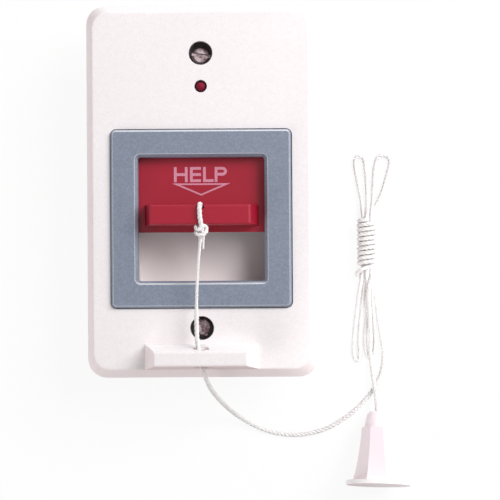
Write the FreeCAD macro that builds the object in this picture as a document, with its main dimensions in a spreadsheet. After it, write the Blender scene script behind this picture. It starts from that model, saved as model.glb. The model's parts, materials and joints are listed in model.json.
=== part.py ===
import FreeCAD, Part
import math
import os

import Sketcher

V = FreeCAD.Vector

# Emergency pull cord alarm for a single wall box, in millimetres.
# Origin: midway between the two wall screws, on the wall plane.
# +X is right and +Y is up the plate, +Z points out of the wall.
# It lies on its rear cover, with its cord and handle on the same surface.

doc = FreeCAD.newDocument("pull_cord_alarm")
sheet = doc.addObject("Spreadsheet::Sheet", "size")

SIZES = {
    # wall plate
    "plate_width": 70.7,
    "plate_height": 114.3,
    "plate_depth": 7.0,
    "plate_lip": 2.0,
    "plate_slope": 3.0,
    "plate_side_slope": 2.4,
    "plate_corner": 6.0,
    "plate_wall": 2.2,
    "plate_rim": 3.6,
    "plate_inner_corner": 3.0,
    "plate_edge": 0.7,
    "case_boss_radius": 2.1,
    "bezel_seat": 1.0,
    # wall screws and their wells
    "screw_case_gap": 0.45,
    "well_radius": 3.6,
    "well_floor": 1.9,
    "tower_radius": 4.7,
    "screw_hole_radius": 2.1,
    "screw_head_radius": 2.9,
    "screw_head_depth": 1.9,
    "screw_neck_radius": 1.4,
    "screw_thread_radius": 1.75,
    "screw_reach": 14.0,
    "screw_slot_width": 0.9,
    "screw_slot_depth": 0.8,
    "top_screw_turn": 172.0,
    "bottom_screw_turn": 116.0,
    # bezel frame and its window
    "bezel_width": 54.5,
    "bezel_height": 53.8,
    "bezel_rise": -8.5,
    "bezel_front": 8.5,
    "bezel_corner": 1.6,
    "bezel_bevel": 0.6,
    "bezel_gap": 0.3,
    "window_width": 38.3,
    "window_top": 10.1,
    "window_bevel": 0.9,
    "window_corner": 0.8,
    "window_inset": 1.35,
    "skirt_wall": 1.0,
    "clip_width": 4.0,
    "clip_thickness": 1.0,
    "clip_hook": 0.6,
    "clip_reach": 25.6,
    "clip_spread": 12.5,
    # cord guide under the lower screw
    "guide_width": 34.6,
    "guide_front_width": 27.5,
    "guide_low": -54.1,
    "guide_high": -46.5,
    "guide_front_low": -52.1,
    "guide_front_high": -47.7,
    "guide_front": 17.0,
    "guide_hole_radius": 2.4,
    "guide_hole_height": 13.3,
    # pull slide with its bar and switch cam
    "slide_width": 40.4,
    "slide_low": -12.6,
    "slide_back": 2.5,
    "slide_thickness": 1.8,
    "slide_gap": 0.2,
    "slide_rest": 2.15,
    "bar_width": 34.6,
    "bar_front_width": 29.6,
    "bar_low": -10.7,
    "bar_high": -4.3,
    "bar_draft": 0.25,
    "bar_front": 14.5,
    "bar_hole_radius": 1.15,
    "bar_hole_height": 11.9,
    "bar_notch": 1.5,
    "cam_width": 5.0,
    "cam_low": 3.5,
    "cam_length": 15.0,
    "cam_height": 0.45,
    "cam_lift": 2.0,
    # slide carrier
    "carrier_floor": 1.4,
    "floor_gap": 0.3,
    "carrier_wall": 1.6,
    "carrier_gap": 0.25,
    "carrier_top_gap": 2.95,
    "slot_width": 6.4,
    "slot_gap": 0.3,
    "slot_high": 19.3,
    "finger_depth": 5.7,
    "finger_inset": 0.75,
    "finger_reach": 0.5,
    "finger_web": 0.9,
    "leg_radius": 1.2,
    "leg_inset": 2.2,
    "leg_end_inset": 3.25,
    "pad_width": 16.0,
    "pad_gap": 0.1,
    "upper_pad_length": 1.0,
    "low_pad_length": 0.8,
    "spring_recess": 1.3,
    "spring_length": 12.0,
    "spring_rise": 15.5,
    "spring_strip": 0.3,
    # rear case, cover and their screws
    "case_width": 48.0,
    "case_height": 73.0,
    "case_wall": 1.6,
    "case_corner": 2.5,
    "case_depth": 20.0,
    "cover_thickness": 1.6,
    "boss_x": 19.5,
    "boss_play": 0.1,
    "boss_hole_radius": 1.35,
    "thread_hole_radius": 1.1,
    "boss_gap": 0.3,
    "case_screw_radius": 1.05,
    "case_screw_head_radius": 2.0,
    "case_screw_head_depth": 1.0,
    "case_screw_play": 0.15,
    "shelf_width": 1.5,
    # circuit board, lamp and terminals
    "board_thickness": 1.6,
    "board_top": -8.9,
    "board_gap": 0.3,
    "board_end_gap": 1.4,
    "board_top_gap": 0.7,
    "board_neck_width": 32.0,
    "lamp_case_gap": 1.0,
    "lamp_radius": 1.6,
    "lamp_hole_radius": 1.9,
    "lamp_front": 7.4,
    "lamp_flange_radius": 2.1,
    "lamp_flange_depth": 1.0,
    "lamp_base": 1.2,
    "lead_thickness": 0.5,
    "lead_pitch": 2.54,
    "lead_end": -11.6,
    "lead_hole_radius": 0.5,
    "spacer_radius": 2.3,
    "terminal_width": 20.4,
    "terminal_height": 9.6,
    "terminal_end_gap": 4.4,
    "terminal_depth": 9.1,
    "terminal_gap": 0.3,
    "terminal_pitch": 5.0,
    "terminal_screw_radius": 1.3,
    "terminal_screw_hole": 1.5,
    "terminal_screw_depth": 2.0,
    "terminal_screw_sink": 0.6,
    "wire_hole": 2.4,
    "terminal_row": 2.3,
    # switch
    "switch_length": 12.8,
    "switch_width": 5.8,
    "switch_height": 6.5,
    "switch_pivot_inset": 0.7,
    "lever_length": 10.8,
    "lever_width": 3.4,
    "lever_strip": 0.3,
    "lever_tip": 1.75,
    "lever_bend": 1.6,
    "lever_gap": 0.1,
    "pivot_height": 1.3,
    "pivot_radius": 0.4,
    "pivot_play": 0.05,
    "curl_wall": 0.3,
    "ear_thickness": 0.6,
    "ear_gap": 0.2,
    "plunger_offset": 4.0,
    "plunger_radius": 0.8,
    "plunger_play": 0.06,
    "plunger_length": 3.6,
    "pin_pitch": 5.08,
    "pin_thickness": 0.6,
    "pin_reach": 3.0,
    "pin_hole_radius": 0.5,
    # cord, knot, hank
    "cord_radius": 0.75,
    "knot_radius": 1.85,
    "knot_x": 0.2,
    "knot_rise": -12.6,
    "knot_height": 13.9,
    "table": -20.0,
    "hank_high": 12.5,
    "hank_low": -55.9,
    "wrap_x": 52.85,
    "wrap_high": -7.6,
    "wrap_low": -23.4,
    "wrap_radius": 3.2,
    "hank_layer": 3.4,
    # handle
    "handle_length": 23.4,
    "neck_top_radius": 3.3,
    "neck_base_radius": 4.3,
    "neck_length": 5.1,
    "neck_round": 0.8,
    "facet_top": 4.9,
    "facet_middle": 5.5,
    "facet_middle_at": 10.3,
    "facet_low": 6.5,
    "facet_low_at": 16.5,
    "facet_base": 7.8,
    "facet_turn": 10.0,
    "flange_radius": 10.3,
    "flange_thickness": 1.4,
    "handle_bore_radius": 0.95,
    "cavity_top": 8.0,
    "cavity_top_radius": 3.2,
    "cavity_base_radius": 5.9,
    "base_radius": 6.9,
    "base_depth": 1.2,
    "base_play": 0.05,
    "stop_knot_radius": 1.7,
    "handle_x": 55.95,
    "handle_y": -71.3,
    "handle_heading": -2.0,
}

# What the case's height decides: its bosses, the wall screws just outside its
# ends, the slide's carrier between the bosses, and what the carrier decides
BOSS_Y = "(case_height / 2 - case_wall - case_boss_radius - boss_play)"
SCREW_Y = "(case_height / 2 + tower_radius + screw_case_gap)"
LAMP_Y = "(case_height / 2 - case_wall - spacer_radius - lamp_case_gap)"
BOARD_HIGH = "(case_height / 2 - case_wall - board_top_gap)"
BOARD_SHOULDER = f"({BOSS_Y} - case_boss_radius - board_end_gap)"
TERMINAL_Y = f"(terminal_end_gap + terminal_height / 2 - {BOARD_SHOULDER})"
CARRIER_LOW = f"(carrier_wall + carrier_gap + case_boss_radius - {BOSS_Y})"
CARRIER_HIGH = f"(-{CARRIER_LOW} - carrier_top_gap)"
WINDOW_BOTTOM = f"({CARRIER_LOW} + window_inset)"
SLIDE_HIGH = f"({CARRIER_HIGH} - upper_pad_length - pad_gap)"
SLIDE_TRAVEL = f"(slide_low - {CARRIER_LOW} - slide_rest)"
SLOT_LOW = f"(cam_low - {SLIDE_TRAVEL} - slot_gap - low_pad_length)"
SLIDE_FACE = "(slide_back + slide_thickness)"
CARRIER_FLOOR = "(slide_back - floor_gap)"
PLATE_INSIDE = "(plate_depth - plate_wall)"

# Straight-and-arc route of the cord between the knot and the hank
RUN_POINTS = [
    (0.1, -13.9, 13.8),
    (-0.55, -22.5, 13.6),
    (-1.05, -36.5, 13.4),
    (-1.15, -47.0, 13.3),
    (0.35, -53.7, 12.9),
    (2.25, -59.4, 8.6),
    (3.95, -63.2, 0.8),
    (6.05, -67.1, -7.6),
    (9.05, -71.1, -14.4),
    (13.85, -75.0, -18.5),
    (20.85, -78.3, -19.25),
    (29.65, -79.5, -19.25),
    (39.05, -77.7, -19.25),
    (47.45, -72.7, -19.25),
    (54.25, -65.9, -19.25),
    (58.05, -58.7, -19.25),
    (58.65, -53.1, -19.1),
]

# Route of the cord between the hank and the handle's neck
TAIL_POINTS = [
    (54.05, -53.3, -18.6),
    (54.65, -58.3, -18.3),
    (55.25, -63.1, -17.55),
]


def fill_sheet():
    """One row for each size: its name, its value and its alias."""
    for row, (name, value) in enumerate(SIZES.items(), start=1):
        sheet.set(f"A{row}", name)
        sheet.set(f"B{row}", str(value))
        sheet.setAlias(f"B{row}", name)
    doc.recompute()


fill_sheet()


def value(text):
    """The number that an expression of named sizes stands for."""
    return float(sheet.evalExpression(named(text)))


def named(text):
    """The expression with each size's name led by the sheet's."""
    words, word = [], ""
    for letter in str(text) + " ":
        if letter.isalnum() or letter in "_.":
            word += letter
            continue
        words.append("size." + word if word in SIZES else word)
        words.append(letter)
        word = ""
    return "".join(words).strip()


def bind(thing, field, text):
    thing.setExpression(field, named(text))


def new_body(name):
    body = doc.addObject("PartDesign::Body", name)
    body.Label = name
    return body


def sketch_on(body, plane, height="0"):
    """A sketch on one of the body's own planes, shifted along its normal."""
    sketch = body.newObject("Sketcher::SketchObject", body.Name + "_sketch")
    origin = [x for x in body.Origin.OriginFeatures if x.Role == plane]
    sketch.AttachmentSupport = (origin[0], [""])
    sketch.MapMode = "FlatFace"
    bind(sketch, "AttachmentOffset.Base.z", height)
    return sketch


def outline(sketch, corners):
    """A closed outline of straight sides, each corner tied to two expressions."""
    points = [V(value(x), value(y), 0) for x, y in corners]
    first = sketch.GeometryCount
    count = len(points)
    for k in range(count):
        sketch.addGeometry(Part.LineSegment(points[k], points[(k + 1) % count]))
    for k in range(count):
        after = first + (k + 1) % count
        sketch.addConstraint(Sketcher.Constraint("Coincident", first + k, 2, after, 1))
    for k, (x, y) in enumerate(corners):
        tie(sketch, "DistanceX", first + k, 1, points[k].x, x)
        tie(sketch, "DistanceY", first + k, 1, points[k].y, y)


def tie(sketch, kind, geometry, point, number, text):
    rule = Sketcher.Constraint(kind, -1, 1, geometry, point, number)
    bind(sketch, f"Constraints[{sketch.addConstraint(rule)}]", text)


def box_outline(sketch, x0, y0, x1, y1):
    outline(sketch, [(x0, y0), (x1, y0), (x1, y1), (x0, y1)])


def centred_outline(sketch, width, low, high):
    box_outline(sketch, f"-({width}) / 2", low, f"({width}) / 2", high)


def ring(sketch, x, y, radius):
    """A circle whose centre and radius are tied to expressions."""
    centre = V(value(x), value(y), 0)
    circle = Part.Circle(centre, V(0, 0, 1), value(radius))
    number = sketch.addGeometry(circle)
    tie(sketch, "DistanceX", number, 3, centre.x, x)
    tie(sketch, "DistanceY", number, 3, centre.y, y)
    rule = Sketcher.Constraint("Radius", number, value(radius))
    bind(sketch, f"Constraints[{sketch.addConstraint(rule)}]", radius)


def pad(body, sketch, length, back=False):
    feature = body.newObject("PartDesign::Pad", body.Name + "_pad")
    feature.Profile = sketch
    feature.Reversed = back
    bind(feature, "Length", length)
    return feature


def pocket(body, sketch, length, back=False):
    """Cuts against the sketch's normal, or along it where back is set."""
    feature = body.newObject("PartDesign::Pocket", body.Name + "_pocket")
    feature.Profile = sketch
    feature.Reversed = back
    bind(feature, "Length", length)
    return feature


def loft(body, sketches):
    feature = body.newObject("PartDesign::AdditiveLoft", body.Name + "_loft")
    feature.Profile = sketches[0]
    feature.Sections = sketches[1:]
    feature.Ruled = True
    return feature


def revolve(body, sketch, kind="Revolution"):
    """Turns a profile round the sketch's own vertical axis."""
    feature = body.newObject("PartDesign::" + kind, body.Name + "_turn")
    feature.Profile = sketch
    feature.ReferenceAxis = (sketch, ["V_Axis"])
    feature.Angle = 360.0
    return feature


def soften(body, chosen, size, kind="Fillet"):
    """Rounds or chamfers the tip's edges that chosen accepts."""
    doc.recompute()
    tip = body.Tip
    names = [
        f"Edge{k}" for k, edge in enumerate(tip.Shape.Edges, start=1) if chosen(edge)
    ]
    if not names:
        raise ValueError("no edge to soften on " + body.Label)
    feature = body.newObject("PartDesign::" + kind, body.Name + "_soft")
    feature.Base = (tip, names)
    bind(feature, "Radius" if kind == "Fillet" else "Size", size)
    return feature


def spans(edge):
    box = edge.BoundBox
    return box.XLength, box.YLength, box.ZLength


def upright(edge):
    across, along, high = spans(edge)
    return high > 0.1 and across < 0.01 and along < 0.01


def leaning(edge):
    """A straight edge that rises and also runs towards the middle."""
    return len(edge.Vertexes) == 2 and min(spans(edge)) > 0.1


def at_height(edge, height):
    box = edge.BoundBox
    return abs(box.ZMin - height) < 0.01 and abs(box.ZMax - height) < 0.01


def upright_at(edge, x, y):
    """An upright edge that stands at one of these corners."""
    centre = edge.BoundBox.Center
    spots = [(a, b) for a in x for b in y]
    return upright(edge) and any(
        math.hypot(centre.x - a, centre.y - b) < 0.01 for a, b in spots
    )


def corners_of(x, y):
    return [(a + x, b + y) for a in ("-", "") for b in ("-", "")]


def make_front_plate():
    """Moulded plate: sloped edges, bezel seat, screw wells and cord guide."""
    body = new_body("front_plate")
    half_x, half_y = "plate_width / 2", "plate_height / 2"
    base = sketch_on(body, "XY_Plane")
    box_outline(base, "-" + half_x, "-" + half_y, half_x, half_y)
    pad(body, base, "plate_lip")
    sections = []
    for height, inset_x, inset_y in (
        ("plate_lip", "0", "0"),
        ("plate_depth", "plate_side_slope", "plate_slope"),
    ):
        section = sketch_on(body, "XY_Plane", height)
        x, y = f"({half_x} - {inset_x})", f"({half_y} - {inset_y})"
        box_outline(section, "-" + x, "-" + y, x, y)
        sections.append(section)
    loft(body, sections)
    soften(body, lambda e: upright(e) or leaning(e), "plate_corner")
    front = value("plate_depth")
    soften(body, lambda e: at_height(e, front), "plate_edge")
    hollow = sketch_on(body, "XY_Plane")
    x, y = f"({half_x} - plate_rim)", f"({half_y} - plate_rim)"
    box_outline(hollow, "-" + x, "-" + y, x, y)
    pocket(body, hollow, "plate_depth - plate_wall", back=True)
    xs, ys = (-value(x), value(x)), (-value(y), value(y))
    soften(body, lambda e: upright_at(e, xs, ys), "plate_inner_corner")
    add_plate_towers(body)
    add_cord_guide(body)
    cut_plate_openings(body)
    return body


def add_plate_towers(body):
    """Wells for the wall screws and bosses for the case screws."""
    inner = "plate_depth - plate_wall"
    towers = sketch_on(body, "XY_Plane")
    for y in ("-" + SCREW_Y, SCREW_Y):
        ring(towers, "0", y, "tower_radius")
    pad(body, towers, inner)
    bosses = sketch_on(body, "XY_Plane", "boss_gap / 2")
    for x, y in corners_of("boss_x", BOSS_Y):
        ring(bosses, x, y, "case_boss_radius")
    pad(body, bosses, inner + " - boss_gap / 2")


def add_cord_guide(body):
    """Drafted ledge that the cord runs down through."""
    base = sketch_on(body, "XY_Plane", "plate_depth")
    centred_outline(base, "guide_width", "guide_low", "guide_high")
    front = sketch_on(body, "XY_Plane", "guide_front")
    centred_outline(front, "guide_front_width", "guide_front_low", "guide_front_high")
    loft(body, [base, front])
    top = value("guide_front")
    soften(body, lambda e: at_height(e, top), "plate_edge")


def cut_plate_openings(body):
    """Bezel seat, slide opening, clip slots, screw holes, lamp and cord holes."""
    seat = sketch_on(body, "XY_Plane", "plate_depth")
    width = "bezel_width + 2 * bezel_gap"
    low = "bezel_rise - bezel_height / 2 - bezel_gap"
    high = "bezel_rise + bezel_height / 2 + bezel_gap"
    centred_outline(seat, width, low, high)
    pocket(body, seat, "bezel_seat")
    xs = (-value(width) / 2, value(width) / 2)
    ys = (value(low), value(high))
    soften(body, lambda e: upright_at(e, xs, ys), "bezel_corner + bezel_gap")
    opening = sketch_on(body, "XY_Plane", "plate_depth")
    skirt = "skirt_wall + bezel_gap"
    centred_outline(
        opening,
        f"window_width + 2 * ({skirt})",
        f"{WINDOW_BOTTOM} - ({skirt})",
        f"window_top + ({skirt})",
    )
    for side, rise in corners_of("clip_reach", "clip_spread"):
        middle = f"{side}"
        box_outline(
            opening,
            f"{middle} - clip_thickness / 2 - clip_hook - bezel_gap",
            f"bezel_rise + {rise} - clip_width / 2 - bezel_gap",
            f"{middle} + clip_thickness / 2 + clip_hook + bezel_gap",
            f"bezel_rise + {rise} + clip_width / 2 + bezel_gap",
        )
    pocket(body, opening, "plate_wall")
    wells = sketch_on(body, "XY_Plane", "plate_depth")
    holes = sketch_on(body, "XY_Plane", "plate_depth")
    for y in ("-" + SCREW_Y, SCREW_Y):
        ring(wells, "0", y, "well_radius")
        ring(holes, "0", y, "screw_hole_radius")
    ring(holes, "0", LAMP_Y, "lamp_hole_radius")
    pocket(body, wells, "plate_depth - well_floor")
    pocket(body, holes, "plate_depth")
    threads = sketch_on(body, "XY_Plane")
    for x, y in corners_of("boss_x", BOSS_Y):
        ring(threads, x, y, "thread_hole_radius")
    pocket(body, threads, "plate_depth - 1.5 * plate_wall", back=True)
    cord = sketch_on(body, "XZ_Plane", "-(guide_high + 1)")
    ring(cord, "0", "guide_hole_height", "guide_hole_radius")
    pocket(body, cord, "guide_high - guide_low + 2", back=True)


def make_bezel_frame():
    """Frame that stands proud of the plate round the slide's window."""
    body = new_body("bezel_frame")
    seat = "(plate_depth - bezel_seat)"
    base = sketch_on(body, "XY_Plane", seat)
    low = "bezel_rise - bezel_height / 2"
    high = "bezel_rise + bezel_height / 2"
    centred_outline(base, "bezel_width", low, high)
    pad(body, base, f"bezel_front - {seat}")
    soften(body, upright, "bezel_corner")
    front = value("bezel_front")
    soften(body, lambda e: at_height(e, front), "bezel_bevel", "Chamfer")
    bottom = f"({SLIDE_FACE} + floor_gap)"
    skirt = sketch_on(body, "XY_Plane", bottom)
    centred_outline(
        skirt,
        "window_width + 2 * skirt_wall",
        WINDOW_BOTTOM + " - skirt_wall",
        "window_top + skirt_wall",
    )
    pad(body, skirt, f"{seat} - {bottom}")
    add_bezel_clips(body, seat)
    window = sketch_on(body, "XY_Plane", "bezel_front")
    centred_outline(window, "window_width", WINDOW_BOTTOM, "window_top")
    pocket(body, window, "bezel_front - slide_back")
    edge = value("window_width") / 2
    low_y, high_y = value(WINDOW_BOTTOM), value("window_top")
    soften(body, lambda e: upright_at(e, (-edge, edge), (low_y, high_y)), "window_corner")

    def window_edge(e):
        centre = e.BoundBox.Center
        inside = abs(centre.x) <= edge + 0.01 and low_y - 0.01 <= centre.y <= high_y + 0.01
        return at_height(e, front) and inside

    soften(body, window_edge, "window_bevel", "Chamfer")
    return body


def add_bezel_clips(body, seat):
    """Four legs that pass the plate and hook outwards behind it."""
    legs = sketch_on(body, "XY_Plane", seat)
    hooks = sketch_on(body, "XY_Plane", PLATE_INSIDE + " - 0.1")
    for side, rise in corners_of("clip_reach", "clip_spread"):
        low = f"bezel_rise + {rise} - clip_width / 2"
        high = f"bezel_rise + {rise} + clip_width / 2"
        inner, outer = f"{side} - clip_thickness / 2", f"{side} + clip_thickness / 2"
        box_outline(legs, inner, low, outer, high)
        if side.startswith("-"):
            box_outline(hooks, inner + " - clip_hook", low, outer, high)
        else:
            box_outline(hooks, inner, low, outer + " + clip_hook", high)
    pad(body, legs, "plate_wall - bezel_seat + 0.1", back=True)
    pad(body, hooks, "clip_hook", back=True)


def make_slide_carrier():
    """Tray that the slide runs in, with a finger well below the slide."""
    body = new_body("slide_carrier")
    half = "(slide_width / 2 + slide_gap)"
    underside = f"({CARRIER_FLOOR} - carrier_floor)"
    base = sketch_on(body, "XY_Plane", underside)
    outer = f"({half} + carrier_wall)"
    low, high = f"{CARRIER_LOW} - carrier_wall", f"{CARRIER_HIGH} + carrier_wall"
    box_outline(base, "-" + outer, low, outer, high)
    pad(body, base, f"{PLATE_INSIDE} - {underside}")
    legs = sketch_on(body, "XY_Plane", underside)
    for side in ("-", ""):
        for y in (f"{CARRIER_LOW} + leg_end_inset", f"{CARRIER_HIGH} - leg_end_inset"):
            ring(legs, f"{side}({outer} - leg_inset)", y, "leg_radius")
    pad(body, legs, f"{underside} - board_top", back=True)
    channel = sketch_on(body, "XY_Plane", PLATE_INSIDE)
    box_outline(channel, "-" + half, CARRIER_LOW, half, CARRIER_HIGH)
    pocket(body, channel, f"{PLATE_INSIDE} - {CARRIER_FLOOR}")
    slot = sketch_on(body, "XY_Plane", CARRIER_FLOOR)
    centred_outline(slot, "slot_width", SLOT_LOW, "slot_high")
    pocket(body, slot, "carrier_floor")
    recess = sketch_on(body, "XY_Plane", PLATE_INSIDE)
    reach = f"({half} + spring_recess)"
    low = "spring_rise - spring_length / 2 - slide_gap"
    high = "spring_rise + spring_length / 2 + slide_gap"
    box_outline(recess, "-" + reach, low, f"-({half} - slide_gap)", high)
    box_outline(recess, f"{half} - slide_gap", low, reach, high)
    pocket(body, recess, f"{PLATE_INSIDE} - {CARRIER_FLOOR}")
    add_finger_well(body, underside, f"2 * ({half} - finger_inset)")
    return body


def add_finger_well(body, underside, width):
    """Deep open well behind the window, where fingers push the slide back."""
    low, high = f"({WINDOW_BOTTOM} - finger_reach)", f"({SLOT_LOW} - finger_web)"
    tub = sketch_on(body, "XY_Plane", underside)
    outer = f"{width} + 2 * carrier_floor"
    centred_outline(tub, outer, f"{low} - carrier_floor", f"{high} + carrier_floor / 2")
    pad(body, tub, "finger_depth", back=True)
    well = sketch_on(body, "XY_Plane", CARRIER_FLOOR)
    centred_outline(well, width, low, high)
    pocket(body, well, "finger_depth")


def make_pull_slide():
    """Flat slide with the pull bar in front and the switch cam behind."""
    body = new_body("pull_slide")
    plate = sketch_on(body, "XY_Plane", "slide_back")
    centred_outline(plate, "slide_width", "slide_low", SLIDE_HIGH)
    pad(body, plate, "slide_thickness")
    sections = []
    for height, width, draft in (
        (SLIDE_FACE, "bar_width", "0"),
        ("bar_front", "bar_front_width", "bar_draft"),
    ):
        section = sketch_on(body, "XY_Plane", height)
        centred_outline(section, width, f"bar_low + {draft}", f"bar_high - {draft}")
        sections.append(section)
    loft(body, sections)
    front = value("bar_front")
    soften(body, lambda e: at_height(e, front), "plate_edge")
    cord = sketch_on(body, "XZ_Plane", "-(bar_high + 1)")
    ring(cord, "0", "bar_hole_height", "bar_hole_radius")
    pocket(body, cord, "bar_high - bar_low + 2", back=True)
    notch = sketch_on(body, "XY_Plane", "bar_front")
    centred_outline(notch, "2 * bar_hole_radius", "bar_high - bar_notch", "bar_high + 1")
    pocket(body, notch, "bar_front - bar_hole_height")
    cam = sketch_on(body, "YZ_Plane", "-cam_width / 2")
    outline(
        cam,
        [
            ("cam_low", "slide_back"),
            ("cam_low", "slide_back - cam_height"),
            ("cam_low + cam_length", f"slide_back - cam_height - cam_lift * cam_length / {SLIDE_TRAVEL}"),
            ("cam_low + cam_length", "slide_back"),
        ],
    )
    pad(body, cam, "cam_width")
    return body


def block(name, x0, y0, z0, x1, y1, z1):
    """A body with one box pad between two corners."""
    body = new_body(name)
    base = sketch_on(body, "XY_Plane", z0)
    box_outline(base, x0, y0, x1, y1)
    pad(body, base, f"{z1} - ({z0})")
    return body


def make_stop_pads():
    """Rubber pads that the slide and its cam come to rest against."""
    block(
        "upper_stop_pad",
        "-pad_width / 2",
        SLIDE_HIGH + " + pad_gap",
        CARRIER_FLOOR,
        "pad_width / 2",
        CARRIER_HIGH,
        SLIDE_FACE,
    )
    block(
        "lower_stop_pad",
        "-slot_width / 2",
        SLOT_LOW,
        CARRIER_FLOOR + " - carrier_floor",
        "slot_width / 2",
        SLOT_LOW + " + low_pad_length",
        CARRIER_FLOOR,
    )


def make_friction_spring(name, side):
    """Bowed leaf in the carrier's wall that grips the slide's edge."""
    body = new_body(name)
    inner = "slide_width / 2 + pad_gap"
    outer = "slide_width / 2 + slide_gap + spring_recess"
    low, high = "spring_rise - spring_length / 2", "spring_rise + spring_length / 2"
    near = [
        (outer, low),
        (outer, f"{low} + spring_strip * 3"),
        (f"{inner} + spring_strip", "spring_rise - 1"),
        (f"{inner} + spring_strip", "spring_rise + 1"),
        (outer, f"{high} - spring_strip * 3"),
        (outer, high),
        (f"{outer} - spring_strip", high),
        (inner, "spring_rise + 1"),
        (inner, "spring_rise - 1"),
        (f"{outer} - spring_strip", low),
    ]
    sketch = sketch_on(body, "XY_Plane", "slide_back")
    outline(sketch, [(f"{side}({x})", y) for x, y in near])
    pad(body, sketch, "slide_thickness")
    return body


def make_rear_case():
    """Open tube behind the plate, with screw bosses and board shelves."""
    body = new_body("rear_case")
    x, y = "case_width / 2", "case_height / 2"
    foot = "cover_thickness - case_depth"
    tall = f"plate_depth - plate_wall - ({foot})"
    base = sketch_on(body, "XY_Plane", foot)
    box_outline(base, "-" + x, "-" + y, x, y)
    pad(body, base, tall)
    soften(body, upright, "case_corner")
    inside = sketch_on(body, "XY_Plane", foot)
    x, y = f"({x} - case_wall)", f"({y} - case_wall)"
    box_outline(inside, "-" + x, "-" + y, x, y)
    pocket(body, inside, tall, back=True)
    bosses = sketch_on(body, "XY_Plane", foot)
    for cx, cy in corners_of("boss_x", BOSS_Y):
        out_x, out_y = cx.replace("boss_x", x), cy.replace(BOSS_Y, y)
        in_x = cx + (" + " if cx[0] == "-" else " - ") + "case_boss_radius"
        in_y = cy + (" + " if cy[0] == "-" else " - ") + "case_boss_radius"
        outline(
            bosses,
            [(out_x, in_y), (in_x, in_y), (in_x, out_y), (out_x, out_y)],
        )
    pad(body, bosses, f"-boss_gap / 2 - ({foot})")
    shelves = sketch_on(body, "XY_Plane", foot)
    limit = f"({BOSS_Y} - case_boss_radius)"
    box_outline(shelves, "-" + x, "-" + limit, f"-({x} - shelf_width)", limit)
    box_outline(shelves, f"{x} - shelf_width", "-" + limit, x, limit)
    pad(body, shelves, f"board_top - board_thickness - ({foot})")
    holes = sketch_on(body, "XY_Plane", foot)
    for cx, cy in corners_of("boss_x", BOSS_Y):
        ring(holes, cx, cy, "boss_hole_radius")
    pocket(body, holes, tall, back=True)
    return body


def make_rear_cover():
    """Flat cover with screw recesses and the terminal opening."""
    body = new_body("rear_cover")
    x, y = "case_width / 2", "case_height / 2"
    base = sketch_on(body, "XY_Plane", "-case_depth")
    box_outline(base, "-" + x, "-" + y, x, y)
    pad(body, base, "cover_thickness")
    soften(body, upright, "case_corner")
    opening = sketch_on(body, "XY_Plane", "-case_depth")
    centred_outline(
        opening,
        "terminal_width + 2 * terminal_gap",
        TERMINAL_Y + " - terminal_height / 2 - terminal_gap",
        TERMINAL_Y + " + terminal_height / 2 + terminal_gap",
    )
    for cx, cy in corners_of("boss_x", BOSS_Y):
        ring(opening, cx, cy, "boss_hole_radius")
    pocket(body, opening, "cover_thickness", back=True)
    recesses = sketch_on(body, "XY_Plane", "-case_depth")
    for cx, cy in corners_of("boss_x", BOSS_Y):
        ring(recesses, cx, cy, "case_screw_head_radius + case_screw_play")
    pocket(body, recesses, "case_screw_head_depth", back=True)
    return body


def cylinder(name, x, y, z, radius, height):
    """A plain cylinder along Z, its place and size tied to expressions."""
    thing = doc.addObject("Part::Cylinder", name)
    for field, text in (
        ("Radius", radius),
        ("Height", height),
        ("Placement.Base.x", x),
        ("Placement.Base.y", y),
        ("Placement.Base.z", z),
    ):
        bind(thing, field, text)
    return thing


def box(name, x0, y0, z0, x1, y1, z1):
    """A plain box between two corners, tied to expressions."""
    thing = doc.addObject("Part::Box", name)
    for field, text in (
        ("Length", f"{x1} - ({x0})"),
        ("Width", f"{y1} - ({y0})"),
        ("Height", f"{z1} - ({z0})"),
        ("Placement.Base.x", x0),
        ("Placement.Base.y", y0),
        ("Placement.Base.z", z0),
    ):
        bind(thing, field, text)
    return thing


def fuse(name, parts):
    thing = doc.addObject("Part::MultiFuse", name)
    thing.Shapes = parts
    thing.Label = name
    return thing


def cut(name, base, tool):
    thing = doc.addObject("Part::Cut", name)
    thing.Base, thing.Tool = base, tool
    thing.Label = name
    return thing


def group(name, parts):
    """Separate solids that share one node."""
    thing = doc.addObject("Part::Compound", name)
    thing.Links = parts
    thing.Label = name
    return thing


def make_case_screws():
    screws = []
    for k, (x, y) in enumerate(corners_of("boss_x", BOSS_Y)):
        head = cylinder(
            f"screw_head_{k}", x, y, "-case_depth", "case_screw_head_radius", "case_screw_head_depth"
        )
        shank = cylinder(
            f"screw_shank_{k}",
            x,
            y,
            "-case_depth",
            "case_screw_radius",
            "case_depth + plate_depth - 2 * plate_wall",
        )
        slot = box(
            f"screw_slot_{k}",
            f"{x} - screw_slot_width / 3",
            f"{y} - case_screw_head_radius",
            "-case_depth",
            f"{x} + screw_slot_width / 3",
            f"{y} + case_screw_head_radius",
            "case_screw_head_depth / 2 - case_depth",
        )
        whole = fuse(f"screw_whole_{k}", [head, shank])
        screws.append(cut(f"screw_cut_{k}", whole, slot))
    group("case_screws", screws)


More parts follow.
